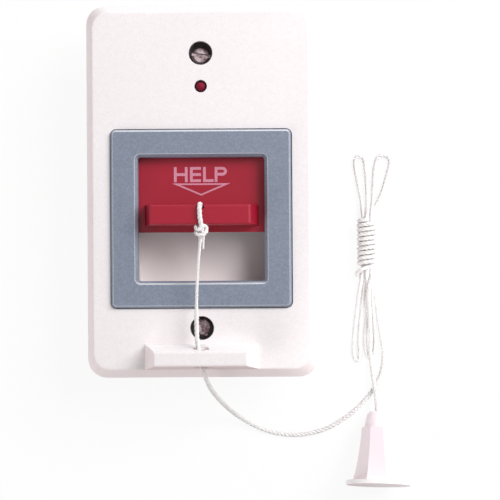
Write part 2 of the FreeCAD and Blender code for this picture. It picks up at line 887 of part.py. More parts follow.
def make_wall_screw(name, side, turn):
    """Slotted oval-head screw with a captive neck and its wall thread."""
    y = side + SCREW_Y
    body = new_body(name)
    profile = sketch_on(body, "XZ_Plane")
    top = "well_floor + screw_head_depth"
    outline(
        profile,
        [
            ("0", "-screw_reach"),
            ("screw_thread_radius - 0.5", "-screw_reach"),
            ("screw_thread_radius", "0.5 - screw_reach"),
            ("screw_thread_radius", "0"),
            ("screw_neck_radius", "0"),
            ("screw_neck_radius", "well_floor"),
            ("screw_head_radius", "well_floor"),
            ("screw_head_radius", f"{top} - 0.8"),
            ("screw_head_radius * 0.75", f"{top} - 0.25"),
            ("0", top),
        ],
    )
    revolve(body, profile)
    slot = sketch_on(body, "XY_Plane", top)
    box_outline(
        slot,
        "-screw_head_radius - 1",
        "-screw_slot_width / 2",
        "screw_head_radius + 1",
        "screw_slot_width / 2",
    )
    pocket(body, slot, "screw_slot_depth")
    bind(body, "Placement.Base.y", y)
    bind(body, "Placement.Rotation.Angle", turn)
    return body


def make_circuit_board():
    body = new_body("circuit_board")
    half = "(case_width / 2 - case_wall - board_gap)"
    neck = "board_neck_width / 2"
    board = sketch_on(body, "XY_Plane", "board_top")
    outline(
        board,
        [
            ("-" + half, "-" + BOARD_SHOULDER),
            (half, "-" + BOARD_SHOULDER),
            (half, BOARD_SHOULDER),
            (neck, BOARD_SHOULDER),
            (neck, BOARD_HIGH),
            ("-" + neck, BOARD_HIGH),
            ("-" + neck, BOARD_SHOULDER),
            ("-" + half, BOARD_SHOULDER),
        ],
    )
    pad(body, board, "board_thickness", back=True)
    holes = sketch_on(body, "XY_Plane", "board_top")
    for x in ("-lead_pitch / 2", "lead_pitch / 2"):
        ring(holes, x, LAMP_Y, "lead_hole_radius")
    for k in (-1, 0, 1):
        ring(holes, "0", f"{SWITCH_MIDDLE} + {k} * pin_pitch", "pin_hole_radius")
    pocket(body, holes, "board_thickness")
    return body


def make_lamp():
    """Round red lamp on two leads, held off the board by a spacer."""
    lamp = new_body("lamp")
    profile = sketch_on(lamp, "XZ_Plane")
    outline(
        profile,
        [
            ("0", "lamp_base"),
            ("lamp_flange_radius", "lamp_base"),
            ("lamp_flange_radius", "lamp_base + lamp_flange_depth"),
            ("lamp_radius", "lamp_base + lamp_flange_depth"),
            ("lamp_radius", "lamp_front - lamp_radius"),
            ("lamp_radius * 0.866", "lamp_front - lamp_radius / 2"),
            ("lamp_radius / 2", "lamp_front - lamp_radius * 0.134"),
            ("0", "lamp_front"),
        ],
    )
    revolve(lamp, profile)
    bind(lamp, "Placement.Base.y", LAMP_Y)
    leads = []
    for k, side in enumerate(("-", "")):
        leads.append(
            box(
                f"lead_{k}",
                f"{side}lead_pitch / 2 - lead_thickness / 2",
                LAMP_Y + " - lead_thickness / 2",
                "lead_end",
                f"{side}lead_pitch / 2 + lead_thickness / 2",
                LAMP_Y + " + lead_thickness / 2",
                "lamp_base",
            )
        )
    group("lamp_leads", leads)
    spacer = new_body("lamp_spacer")
    base = sketch_on(spacer, "XY_Plane", "board_top")
    ring(base, "0", LAMP_Y, "spacer_radius")
    pad(spacer, base, "lamp_base - board_top")
    holes = sketch_on(spacer, "XY_Plane", "board_top")
    for x in ("-lead_pitch / 2", "lead_pitch / 2"):
        ring(holes, x, LAMP_Y, "lead_hole_radius")
    pocket(spacer, holes, "lamp_base - board_top", back=True)


def make_terminals():
    """Four-way terminal block that faces the rear opening."""
    body = new_body("terminal_block")
    back = "board_top - board_thickness"
    face = f"{back} - terminal_depth"
    base = sketch_on(body, "XY_Plane", face)
    centred_outline(
        base,
        "terminal_width",
        TERMINAL_Y + " - terminal_height / 2",
        TERMINAL_Y + " + terminal_height / 2",
    )
    pad(body, base, "terminal_depth")
    screw_holes = sketch_on(body, "XY_Plane", face)
    wire_holes = sketch_on(body, "XY_Plane", face)
    screws = []
    for k in range(4):
        x = f"({k} - 1.5) * terminal_pitch"
        y = TERMINAL_Y + " + terminal_row"
        ring(screw_holes, x, y, "terminal_screw_hole")
        box_outline(
            wire_holes,
            f"{x} - wire_hole / 2",
            TERMINAL_Y + " - terminal_row - wire_hole / 2",
            f"{x} + wire_hole / 2",
            TERMINAL_Y + " - terminal_row + wire_hole / 2",
        )
        head = cylinder(
            f"clamp_head_{k}",
            x,
            y,
            f"{face} + terminal_screw_sink",
            "terminal_screw_radius",
            "terminal_screw_depth",
        )
        slot = box(
            f"clamp_slot_{k}",
            f"{x} - terminal_screw_radius",
            f"{y} - screw_slot_width / 4",
            f"{face} + terminal_screw_sink",
            f"{x} + terminal_screw_radius",
            f"{y} + screw_slot_width / 4",
            f"{face} + terminal_screw_sink + screw_slot_depth",
        )
        screws.append(cut(f"clamp_screw_{k}", head, slot))
    pocket(body, screw_holes, "terminal_screw_sink + terminal_screw_depth", back=True)
    pocket(body, wire_holes, "terminal_depth - board_thickness", back=True)
    group("terminal_screws", screws)


# The switch's lever tip sits at the foot of the cam, its pivot one lever further up
LEVER_TIP_Y = "(cam_low + 0.6)"
PIVOT_Y = f"({LEVER_TIP_Y} + lever_length)"
SWITCH_TOP = "(board_top + switch_height)"
PIVOT_Z = f"({SWITCH_TOP} + pivot_height)"
SWITCH_HIGH = f"({PIVOT_Y} + switch_pivot_inset)"
SWITCH_MIDDLE = f"({SWITCH_HIGH} - switch_length / 2)"


def lever_swing():
    """How far the lever turns over the slide's travel, in radians."""
    return 2 * math.asin(value("cam_lift / 2 / lever_length"))


def make_switch():
    """Small switch on the board: its body with pivot ears, pins and plunger."""
    body = new_body("switch_body")
    base = sketch_on(body, "XY_Plane", "board_top")
    low = f"{SWITCH_HIGH} - switch_length"
    centred_outline(base, "switch_width", low, SWITCH_HIGH)
    pad(body, base, "switch_height")
    inner = "(lever_width / 2 + ear_gap)"
    for side in ("-", ""):
        near = sketch_on(body, "YZ_Plane", f"{inner}" if not side else f"-{inner} - ear_thickness")
        box_outline(
            near,
            f"{PIVOT_Y} - switch_pivot_inset",
            SWITCH_TOP,
            SWITCH_HIGH,
            f"{PIVOT_Z} + switch_pivot_inset",
        )
        pad(body, near, "ear_thickness")
    pin = sketch_on(body, "YZ_Plane", f"-{inner}")
    ring(pin, PIVOT_Y, PIVOT_Z, "pivot_radius")
    pad(body, pin, f"2 * {inner}")
    bore = sketch_on(body, "XY_Plane", SWITCH_TOP)
    ring(bore, "0", f"{PIVOT_Y} - plunger_offset", "plunger_radius + plunger_play")
    pocket(body, bore, "plunger_length")
    pins = []
    for k in (-1, 0, 1):
        middle = f"{SWITCH_MIDDLE} + {k} * pin_pitch"
        pins.append(
            box(
                f"switch_pin_{k + 1}",
                "-pin_thickness / 2",
                f"{middle} - pin_thickness / 2",
                "board_top - pin_reach",
                "pin_thickness / 2",
                f"{middle} + pin_thickness / 2",
                "board_top",
            )
        )
    group("switch_pins", pins)
    make_plunger()
    make_lever()


def plunger_top():
    """Height of the plunger's crown, just under the lever at rest."""
    half = lever_swing() / 2
    under = value("plunger_offset") * math.tan(half)
    return value(PIVOT_Z) + under - value("lever_strip") / 2 / math.cos(half)


def make_plunger():
    """Round pin with a domed crown, from the lever down into the body."""
    radius = value("plunger_radius")
    top = plunger_top() - value("lever_gap")
    rod = Part.makeCylinder(radius, value("plunger_length"))
    rod.translate(V(0, 0, -value("plunger_length")))
    dome = Part.makeSphere(radius * 1.25)
    dome.translate(V(0, 0, -radius * 1.25))
    skirt = Part.makeCylinder(radius, value("plunger_length"))
    skirt.translate(V(0, 0, -value("plunger_length") - radius * 0.5))
    solid = skirt.fuse(rod.common(dome)).removeSplitter()
    thing = doc.addObject("Part::Feature", "switch_plunger")
    thing.Shape = solid
    thing.Label = "switch_plunger"
    thing.Placement.Base = V(0, value(f"{PIVOT_Y} - plunger_offset"), top)


def make_lever():
    """Spring strip with a rolled eye on the pivot and a raised tip."""
    half_swing = lever_swing() / 2
    strip, width = value("lever_strip"), value("lever_width")
    eye = value("pivot_radius + pivot_play")
    outer = eye + value("curl_wall")
    length, bend = value("lever_length"), value("lever_bend")
    tip = value("lever_tip")
    path = [V(0, 0, 0), V(0, -(length - bend), 0), V(0, -length, tip)]
    arm = ribbon(path, strip, width)
    curl = Part.makeCylinder(outer, width, V(-width / 2, 0, 0), V(1, 0, 0))
    hole = Part.makeCylinder(eye, width, V(-width / 2, 0, 0), V(1, 0, 0))
    solid = curl.fuse(arm).cut(hole).removeSplitter()
    solid.rotate(V(0, 0, 0), V(1, 0, 0), -math.degrees(half_swing))
    thing = doc.addObject("Part::Feature", "switch_lever")
    thing.Shape = solid
    thing.Label = "switch_lever"
    thing.Placement.Base = V(0, value(PIVOT_Y), value(PIVOT_Z))


def ribbon(path, thickness, width):
    """A flat strip that follows a bent line in the YZ plane."""
    above, below = [], []
    for k, point in enumerate(path):
        before, after = path[max(k - 1, 0)], path[min(k + 1, len(path) - 1)]
        along = (after - before).normalize()
        normal = V(1, 0, 0).cross(along)
        above.append(point + normal * (thickness / 2))
        below.append(point - normal * (thickness / 2))
    corners = above + below[::-1]
    face = Part.Face(Part.makePolygon(corners + corners[:1]))
    face.translate(V(-width / 2, 0, 0))
    return face.extrude(V(width, 0, 0))


def tube_path(points):
    """Straight runs joined by tangent arcs, as one wire, with its radii."""
    edges, radii = [], []
    at = points[0]
    for before, corner, after in zip(points, points[1:], points[2:]):
        into, out = (corner - before), (after - corner)
        turn = into.getAngle(out)
        reach = 0.45 * min(into.Length, out.Length)
        radii.append(reach / math.tan(turn / 2))
        start = corner - into.normalize() * reach
        end = corner + out.normalize() * reach
        chord = (start + end) * 0.5
        towards = (corner - chord).normalize()
        centre = chord - towards * (radii[-1] * math.cos(turn / 2))
        middle = centre + towards * radii[-1]
        edges.append(Part.LineSegment(at, start).toShape())
        edges.append(Part.Arc(start, middle, end).toShape())
        at = end
    edges.append(Part.LineSegment(at, points[-1]).toShape())
    return Part.Wire(edges), radii


def make_tube(name, points, radius):
    """Round cord swept along a route, checked against section times length."""
    wire, radii = tube_path(points)
    start = (points[1] - points[0]).normalize()
    section = Part.Wire(Part.makeCircle(radius, points[0], start))
    solid = Part.Wire(wire).makePipeShell([section], True, True)
    wanted = math.pi * radius**2 * wire.Length
    if abs(solid.Volume - wanted) > 0.02 * wanted:
        raise ValueError("the swept volume of " + name + " is wrong")
    smallest = min(radii)
    print(f"{name}: length {wire.Length:.1f}, smallest bend radius {smallest:.2f}")
    print("  radii " + ", ".join(f"{r:.1f}" for r in radii))
    thing = doc.addObject("Part::Feature", name)
    thing.Shape = solid
    thing.Label = name
    return wire


def make_cord_loop():
    """Loop of cord round the bar's front, through the bar's hole."""
    radius = value("cord_radius")
    knot_x, knot_y, knot_z = value("knot_x"), value("knot_rise"), value("knot_height")
    back, front = value("bar_hole_height"), value("bar_front + cord_radius + 0.25")
    top, low = value("bar_high - bar_notch") + radius + 0.3, value("bar_low")
    middle, aside = low + 1.7, -0.25
    points = [
        V(knot_x, knot_y + 0.4, knot_z - 0.6),
        V(0, low + 0.3, back + 0.05),
        V(aside / 2, middle, back),
        V(aside, top, back),
        V(aside, top, front),
        V(aside / 2, middle, front + 0.05),
        V(0.05, low + 0.6, front - 0.05),
        V(knot_x, knot_y + 0.6, knot_z + 0.6),
    ]
    make_tube("cord_loop", points, radius)


def make_knot():
    """The knot under the bar, a plain rounded body."""
    thing = doc.addObject("Part::Sphere", "cord_knot")
    thing.Label = "cord_knot"
    bind(thing, "Radius", "knot_radius")
    bind(thing, "Placement.Base.x", "knot_x")
    bind(thing, "Placement.Base.y", "knot_rise")
    bind(thing, "Placement.Base.z", "knot_height")


def rounded_section(x0, x1, y, z0, z1):
    """Flat oval across the hank at one height of the plate."""
    half = (z1 - z0) / 2
    middle = (z0 + z1) / 2
    a, b = V(x0 + half, y, z0), V(x1 - half, y, z0)
    c, d = V(x1 - half, y, z1), V(x0 + half, y, z1)
    edges = [
        Part.LineSegment(a, b).toShape(),
        Part.Arc(b, V(x1, y, middle), c).toShape(),
        Part.LineSegment(c, d).toShape(),
        Part.Arc(d, V(x0, y, middle), a).toShape(),
    ]
    return Part.Wire(edges)


def make_hank():
    """The wound bundle: fanned bights above and below a wrapped waist."""
    table = value("table")
    layer = table + value("hank_layer")
    high, low = value("hank_high"), value("hank_low")
    top, bottom = value("wrap_high"), value("wrap_low")
    middle, radius = value("wrap_x"), value("wrap_radius")
    upper = Part.makeLoft(
        [
            rounded_section(middle - 2.9, middle + 2.9, top - 2, table, layer),
            rounded_section(middle - 3.6, middle + 7.6, top + 9, table, layer),
            rounded_section(middle - 3.9, middle + 8.5, high - 4, table, layer),
            rounded_section(middle - 1.9, middle + 6.8, high, table, layer),
        ],
        True,
        False,
    )
    lower = Part.makeLoft(
        [
            rounded_section(middle - 2.9, middle + 2.9, bottom + 2, table, layer),
            rounded_section(middle - 3.2, middle + 5.0, bottom - 9, table, layer),
            rounded_section(middle - 4.7, middle + 7.0, low + 8, table, layer),
            rounded_section(middle - 3.4, middle + 5.4, low, table, layer),
        ],
        True,
        False,
    )
    waist = Part.makeCylinder(
        radius, top - bottom, V(middle, bottom, table + radius), V(0, 1, 0)
    )
    thing = doc.addObject("Part::Feature", "cord_hank")
    thing.Shape = waist.fuse([upper, lower]).removeSplitter()
    thing.Label = "cord_hank"


def handle_placement():
    """Lays the handle down on its flange's rim and its body's top corner."""
    corner = value("facet_top") / math.cos(math.radians(22.5))
    rim_at = value("handle_length - flange_thickness")
    rise = value("flange_radius") - corner
    tilt = math.degrees(math.atan2(rise, rim_at - value("neck_length")))
    lean = math.radians(tilt)
    drop = rim_at * math.sin(lean) - value("flange_radius") * math.cos(lean)
    place = V(value("handle_x"), value("handle_y"), value("table") - drop + 0.02)
    turned = FreeCAD.Rotation(V(1, 0, 0), 90.0 - tilt)
    headed = FreeCAD.Rotation(V(0, 0, 1), value("handle_heading"))
    return FreeCAD.Placement(place, headed.multiply(turned))


def polygon_sketch(body, height, radius):
    """Eight-sided section, its flats at the given radius from the axis."""
    sketch = sketch_on(body, "XY_Plane", height)
    corners = []
    for k in range(8):
        angle = f"({k} * 45 + 22.5 + facet_turn)"
        reach = f"({radius}) / cos(22.5)"
        corners.append((f"{reach} * cos({angle})", f"{reach} * sin({angle})"))
    outline(sketch, corners)
    return sketch


def make_handle():
    """Flared eight-sided pull with a round neck, flange and pressed base."""
    body = new_body("handle_body")
    sections = [
        polygon_sketch(body, height, radius)
        for height, radius in (
            ("neck_length", "facet_top"),
            ("facet_middle_at", "facet_middle"),
            ("facet_low_at", "facet_low"),
            ("handle_length - flange_thickness", "facet_base"),
        )
    ]
    loft(body, sections).Ruled = False
    profile = sketch_on(body, "XZ_Plane")
    outline(
        profile,
        [
            ("0", "0"),
            ("neck_top_radius - neck_round", "0"),
            ("neck_top_radius", "neck_round"),
            ("neck_base_radius", "neck_length"),
            ("neck_base_radius", "neck_length + 0.5"),
            ("0", "neck_length + 0.5"),
        ],
    )
    revolve(body, profile)
    flange = sketch_on(body, "XY_Plane", "handle_length")
    ring(flange, "0", "0", "flange_radius")
    pad(body, flange, "flange_thickness", back=True)
    rim = value("handle_length")
    soften(body, lambda e: at_height(e, rim), "flange_thickness / 4")
    hollow = sketch_on(body, "XZ_Plane")
    outline(
        hollow,
        [
            ("0", "-1"),
            ("handle_bore_radius", "-1"),
            ("handle_bore_radius", "cavity_top"),
            ("cavity_top_radius", "cavity_top"),
            ("cavity_base_radius", "handle_length - base_depth"),
            ("base_radius + base_play", "handle_length - base_depth"),
            ("base_radius + base_play", "handle_length + 1"),
            ("0", "handle_length + 1"),
        ],
    )
    revolve(body, hollow, "Groove")
    base = new_body("handle_base")
    disc = sketch_on(base, "XY_Plane", "handle_length - base_depth")
    ring(disc, "0", "0", "base_radius")
    pad(base, disc, "base_depth")
    knot = doc.addObject("Part::Sphere", "handle_knot")
    knot.Label = "handle_knot"
    bind(knot, "Radius", "stop_knot_radius")
    place = handle_placement()
    for thing in (body, base):
        thing.Placement = place
    deep = value("cavity_top + stop_knot_radius + 0.1")
    knot.Placement = FreeCAD.Placement(place.multVec(V(0, 0, deep)), place.Rotation)


def tail_points():
    """The tail's chosen points, then the neck's axis down to the stopper knot."""
    place = handle_placement()
    inner = value("cavity_top + stop_knot_radius * 0.4")
    before = place.multVec(V(0, 0, -2.2))
    mouth = place.multVec(V(0, 0, inner))
    return [V(*p) for p in TAIL_POINTS] + [before, mouth]


def make_cord():
    radius = value("cord_radius")
    make_cord_loop()
    make_knot()
    make_tube("cord_run", [V(*p) for p in RUN_POINTS], radius)
    make_hank()
    make_tube("cord_tail", tail_points(), radius)


def check_and_write(names):
    """Stops on any failed object or bad shape, then writes each node."""
    doc.recompute()
    for thing in doc.Objects:
        if "Invalid" in thing.State or "Error" in thing.State:
            raise RuntimeError(thing.Label + " did not rebuild: " + str(thing.State))
    os.makedirs("parts", exist_ok=True)
    nodes = {thing.Label: thing for thing in doc.Objects}
    for name in names:
        shape = nodes[name].Shape
        if shape.isNull() or not shape.isValid() or not shape.Solids:
            raise RuntimeError("bad shape: " + name)
        shape.exportStep(f"parts/{name}.step")
        box = shape.optimalBoundingBox(False)
        print(
            f"{name}: {len(shape.Solids)} solids, {shape.Volume:.1f} mm3, "
            f"x {box.XMin:.2f} {box.XMax:.2f}, y {box.YMin:.2f} {box.YMax:.2f}, "
            f"z {box.ZMin:.2f} {box.ZMax:.2f}"
        )


NODES = [
    "front_plate",
    "bezel_frame",
    "slide_carrier",
    "upper_stop_pad",
    "lower_stop_pad",
    "friction_spring_left",
    "friction_spring_right",
    "rear_case",
    "rear_cover",
    "case_screws",
    "wall_screw_top",
    "wall_screw_bottom",
    "circuit_board",
    "lamp",
    "lamp_leads",
    "lamp_spacer",
    "terminal_block",
    "terminal_screws",
    "switch_body",
    "switch_pins",
    "switch_lever",
    "switch_plunger",
    "pull_slide",
    "cord_loop",
    "cord_knot",
    "cord_run",
    "cord_hank",
    "cord_tail",
    "handle_body",
    "handle_base",
    "handle_knot",
]

make_front_plate()
make_bezel_frame()
make_slide_carrier()
make_pull_slide()
make_stop_pads()
make_friction_spring("friction_spring_left", "-")
make_friction_spring("friction_spring_right", "")
make_rear_case()
make_rear_cover()
make_case_screws()
make_wall_screw("wall_screw_top", "", "top_screw_turn")
make_wall_screw("wall_screw_bottom", "-", "bottom_screw_turn")
make_circuit_board()
make_lamp()
make_terminals()
make_switch()
make_handle()
make_cord()
check_and_write(NODES)
print(f"lever swing {math.degrees(lever_swing()):.4f} degrees")
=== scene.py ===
import json
import math

import bmesh
import bpy
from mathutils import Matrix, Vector


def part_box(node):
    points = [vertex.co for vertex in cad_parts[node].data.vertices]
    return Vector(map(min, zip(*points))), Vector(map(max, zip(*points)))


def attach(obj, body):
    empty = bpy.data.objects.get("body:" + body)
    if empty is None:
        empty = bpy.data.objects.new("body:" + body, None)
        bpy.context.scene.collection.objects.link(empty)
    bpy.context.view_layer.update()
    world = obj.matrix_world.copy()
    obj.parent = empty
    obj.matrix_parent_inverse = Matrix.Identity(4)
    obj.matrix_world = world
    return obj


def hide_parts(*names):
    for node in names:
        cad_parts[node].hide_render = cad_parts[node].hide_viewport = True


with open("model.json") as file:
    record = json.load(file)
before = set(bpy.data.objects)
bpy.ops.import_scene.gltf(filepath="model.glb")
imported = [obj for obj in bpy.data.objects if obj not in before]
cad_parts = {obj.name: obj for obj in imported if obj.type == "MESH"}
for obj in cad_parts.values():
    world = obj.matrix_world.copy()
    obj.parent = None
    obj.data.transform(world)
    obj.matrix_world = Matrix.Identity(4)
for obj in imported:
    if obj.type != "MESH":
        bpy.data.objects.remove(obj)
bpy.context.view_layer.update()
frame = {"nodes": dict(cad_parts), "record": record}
nodes = frame["nodes"]

MM = 0.001

# Sizes of the solids, in millimetres: the height of the table on which the
# alarm lies, the screws' places and wells, and two front faces
TABLE = -20.0
SCREW_Y = 41.65
WELL_RADIUS = 3.6
PLATE_FRONT = 7.0
BEZEL_FRONT = 8.5

# Boxes as ranges along X, Y and Z, in which the plate gets painted shade and
# light: the seat round the bezel, and the lower and the upper side of the cord
# guide
SEAT = ((-27.6, 27.6), (-35.75, 18.75))
GUIDE = ((-17.4, 17.4), (-54.3, -51.0), (6.6, 16.6))
GUIDE_TOP = ((-18.0, 18.0), (-51.0, -45.5), (7.3, 16.6))

# The handle's neck end, the direction to its base, and how far along its rim is
HANDLE_START = (55.95, -71.3, -16.34)
HANDLE_AXIS = (-0.0335, -0.9584, 0.2835)
RIM_AT = 22.1

# Distance from ring to ring of the turning marks on the wall screws
RING_PITCH = 0.16

# Route of the cord, in millimetres. It leaves the knot under the bar, runs
# through the guide and over the table to the hank, and ends in the handle.
RUN = [
    (0.1, -13.9, 13.8),
    (-0.9, -22.5, 13.6),
    (-1.4, -36.5, 13.4),
    (-1.15, -47.0, 13.3),
    (0.35, -53.7, 12.9),
    (2.25, -59.4, 8.6),
    (3.95, -63.2, 0.8),
    (6.05, -67.1, -7.6),
    (9.05, -71.1, -14.4),
    (13.85, -75.0, -18.5),
    (20.85, -78.3, -19.25),
    (29.65, -79.5, -19.25),
    (39.05, -77.7, -19.25),
    (47.45, -72.7, -19.25),
    (54.25, -65.9, -19.25),
    (58.05, -58.7, -19.25),
    (58.65, -53.1, -19.2),
]

# Five passes through the hank: up to the right bight, down, round the lower
# right bight, up to the left bight, down, round the lower left bight and up.
PASSES = [
    (57.95, -47.8, -19.2),
    (56.95, -41.2, -19.1),
    (55.95, -34.5, -18.8),
    (54.85, -28.5, -18.2),
    (53.95, -23.5, -17.6),
    (53.85, -15.5, -17.5),
    (53.95, -8.0, -17.5),
    (55.55, -4.9, -18.3),
    (57.75, -1.3, -19.1),
    (59.55, 4.3, -19.25),
    (60.85, 9.1, -19.25),
    (61.15, 11.7, -19.25),
    (59.25, 13.1, -19.25),
    (56.95, 12.4, -19.25),
    (55.95, 9.3, -19.25),
    (55.55, 3.3, -19.2),
    (55.05, -3.3, -18.2),
    (54.15, -8.0, -16.3),
    (53.95, -15.5, -16.1),
    (53.95, -23.0, -16.4),
    (54.55, -28.5, -17.6),
    (54.75, -34.5, -18.7),
    (55.35, -41.2, -19.2),
    (55.75, -47.8, -19.25),
    (55.55, -51.9, -19.25),
    (54.55, -54.2, -19.25),
    (53.15, -53.6, -19.25),
    (52.35, -50.5, -19.25),
    (52.35, -46.0, -19.25),
    (53.05, -41.2, -19.2),
    (53.35, -34.5, -18.6),
    (53.05, -28.5, -17.6),
    (52.75, -23.0, -15.8),
    (52.75, -15.5, -15.7),
    (52.85, -8.0, -15.9),
    (53.45, -3.3, -18.0),
    (53.35, 3.3, -19.2),
    (52.85, 9.3, -19.25),
    (52.45, 11.9, -19.25),
    (50.95, 12.9, -19.25),
    (49.55, 11.8, -19.25),
    (49.35, 9.3, -19.25),
    (50.45, 3.3, -19.2),
    (51.65, -2.8, -18.5),
    (51.75, -8.0, -16.7),
    (51.75, -15.5, -16.6),
    (51.75, -23.0, -16.8),
    (51.15, -28.5, -18.2),
    (50.25, -34.5, -19.1),
    (49.45, -41.2, -19.25),
    (48.65, -47.8, -19.25),
    (48.45, -52.1, -19.25),
    (49.15, -54.8, -19.25),
    (50.55, -54.7, -19.25),
    (50.75, -51.5, -19.25),
    (50.35, -47.8, -19.25),
    (51.05, -41.2, -19.25),
    (51.85, -34.5, -19.0),
    (52.25, -28.5, -18.6),
    (52.45, -23.0, -17.9),
    (52.45, -15.5, -17.9),
    (52.55, -9.5, -17.7),
    (52.95, -7.1, -16.6),
]

# The wrapping round the waist, and the hitch that ends it
WRAP_AXIS = (52.85, -16.75)
WRAP_HIGH = -8.4
WRAP_PITCH = 1.53
WRAP_TURNS = 9.75
WRAP_RADIUS = 2.55
STEPS_PER_TURN = 12
HITCH = [
    (51.55, -24.2, -14.6),
    (50.15, -25.1, -15.6),
    (49.45, -26.1, -17.3),
    (50.45, -27.1, -18.6),
    (52.25, -26.5, -19.3),
    (54.25, -26.1, -18.6),
    (54.95, -26.7, -17.0),
    (53.85, -28.1, -16.2),
    (53.25, -31.5, -16.9),
    (53.95, -41.2, -17.8),
    (54.05, -47.8, -18.1),
]

TAIL = [
    (54.05, -53.3, -18.6),
    (54.65, -58.3, -18.3),
    (55.25, -63.1, -17.55),
    (56.02, -69.19, -16.96),
    (55.66, -79.62, -13.88),
]

# The loop round the bar's front, up from the knot and back through the hole
LOOP = [
    (0.6, -13.4, 13.7),
    (0.5, -11.9, 14.7),
    (0.2, -9.9, 15.35),
    (-0.1, -7.7, 15.4),
    (-0.15, -5.7, 15.5),
    (-0.1, -4.5, 15.1),
    (0.0, -4.45, 13.0),
    (-0.1, -5.3, 11.9),
    (-0.1, -7.9, 11.9),
    (0.0, -10.5, 11.95),
    (0.15, -11.9, 12.5),
    (0.2, -13.5, 13.3),
]

# The knot's own turns, from its short free end up into the loop
KNOT = [
    (0.7, -17.8, 13.1),
    (0.8, -16.1, 13.3),
    (0.75, -14.7, 13.4),
    (0.95, -13.8, 12.7),
    (0.05, -13.2, 12.1),
    (-1.15, -12.7, 12.8),
    (-1.45, -12.8, 14.0),
    (-0.75, -13.5, 15.0),
    (0.55, -13.7, 15.2),
    (1.65, -13.0, 14.6),
    (1.95, -11.9, 13.8),
    (1.55, -10.8, 14.0),
    (0.75, -10.8, 14.9),
    (-0.25, -12.1, 15.4),
    (-1.15, -12.0, 14.6),
    (-1.35, -10.9, 13.6),
    (-0.55, -10.8, 12.6),
    (0.45, -11.7, 12.6),
]

# The cord's width, and the knot's share of that width
CORD_DIAMETER = 1.5
KNOT_SHARE = 0.85

# The strands: each one's share of the width, its corners, the length of one
# twist, and the step from ring to ring
STRANDS = 3
STRAND_SHARE = 0.62
STRAND_SIDES = 8
TWIST_PITCH = 4.0
RING_STEP = 0.42

# Filaments round a strand, and how fast they turn along it
FILAMENTS = 9
FILAMENT_LAY = 0.35

# The straight pull over the plate: where it starts and ends along Y, the ramp
# at each end, and the share of its width that the cord keeps there
TAUT_FROM = -38.0
TAUT_TO = -13.0
TAUT_RAMP = 3.5
TAUT_SHARE = 0.7


def mm(points):
    """Points in millimetres as vectors in metres."""
    return [Vector(p) * MM for p in points]


def smooth_line(name, points):
    """Points of a NURBS spline that has these control points."""
    curve = bpy.data.curves.new(name + "_route", "CURVE")
    curve.dimensions = "3D"
    curve.resolution_u = 10
    spline = curve.splines.new("NURBS")
    spline.points.add(len(points) - 1)
    for place, point in zip(spline.points, points):
        place.co = (*point, 1.0)
    spline.order_u = 3
    spline.use_endpoint_u = True
    bare = bpy.data.objects.new(name + "_route", curve)
    mesh = bpy.data.meshes.new_from_object(bare)
    line = [v.co.copy() for v in mesh.vertices]
    bpy.data.meshes.remove(mesh)
    bpy.data.objects.remove(bare)
    bpy.data.curves.remove(curve)
    return line


def even_steps(line, step):
    """The line again, with points one step apart."""
    out, left = [line[0].copy()], step
    for a, b in zip(line, line[1:]):
        span = (b - a).length
        while left <= span:
            out.append(a.lerp(b, left / span))
            left += step
        left -= span
    out.append(line[-1].copy())
    return out


def frames_along(line):
    """A tangent, normal and binormal at each point, with no sudden roll."""
    out = []
    normal = None
    for k, point in enumerate(line):
        before, after = line[max(k - 1, 0)], line[min(k + 1, len(line) - 1)]
        tangent = (after - before).normalized()
        if normal is None:
            normal = tangent.orthogonal()
        normal = (normal - tangent * normal.dot(tangent)).normalized()
        out.append((tangent, normal, tangent.cross(normal)))
    return out


def new_object(name, mesh, material):
    """An object in the scene that has this mesh and material."""
    thing = bpy.data.objects.new(name, mesh)
    bpy.context.scene.collection.objects.link(thing)
    mesh.materials.append(material)
    return thing


def mesh_object(name, work, material):
    """An object from a finished bmesh."""
    mesh = bpy.data.meshes.new(name)
    work.to_mesh(mesh)
    work.free()
    return new_object(name, mesh, material)


def slimness(point):
    """Share of its width that the cord keeps where it is pulled straight."""
    if point.z < PLATE_FRONT * MM:
        return 1.0
    along = point.y / MM
    inside = min(TAUT_TO - along, along - TAUT_FROM) / TAUT_RAMP
    return 1.0 - (1.0 - TAUT_SHARE) * min(max(inside, 0.0), 1.0)


def strand_ring(work, point, axes, turn, diameter):
    """Corners round one strand, which lies beside the cord's own line."""
    tangent, normal, side = axes
    radius = diameter / 2 * STRAND_SHARE
    reach = diameter / 2 - radius
    share = slimness(point)
    out = normal * math.cos(turn) + side * math.sin(turn)
    across = tangent.cross(out)
    centre = point + out * reach * share
    ring = []
    for j in range(STRAND_SIDES):
        angle = 2 * math.pi * j / STRAND_SIDES
        toward = out * math.cos(angle) + across * math.sin(angle)
        ring.append(work.verts.new(centre + toward * radius * share))
    return ring


def close_tube(work, uv, rings):
    """Faces between the rings, and a face over each end."""
    for k, (a, b) in enumerate(zip(rings, rings[1:])):
        for j in range(STRAND_SIDES):
            after = (j + 1) % STRAND_SIDES
            face = work.faces.new((a[j], a[after], b[after], b[j]))
            face.smooth = True
            corners = ((k, j), (k, j + 1), (k + 1, j + 1), (k + 1, j))
            for loop, (along, around) in zip(face.loops, corners):
                loop[uv].uv = (along * RING_STEP, around / STRAND_SIDES)
    work.faces.new(rings[0][::-1])
    work.faces.new(rings[-1])


def twisted_cord(name, line, diameter):
    """Strands laid round a line, with a UV map, and the line in even steps."""
    line = even_steps(line, RING_STEP * MM)
    axes = frames_along(line)
    work = bmesh.new()
    uv = work.loops.layers.uv.new("strand")
    for number in range(STRANDS):
        rings = []
        for k, point in enumerate(line):
            turn = 2 * math.pi * (k * RING_STEP / TWIST_PITCH + number / STRANDS)
            rings.append(strand_ring(work, point, axes[k], turn, diameter))
        close_tube(work, uv, rings)
    return mesh_object(name, work, SLOTS["cord_white"]), line


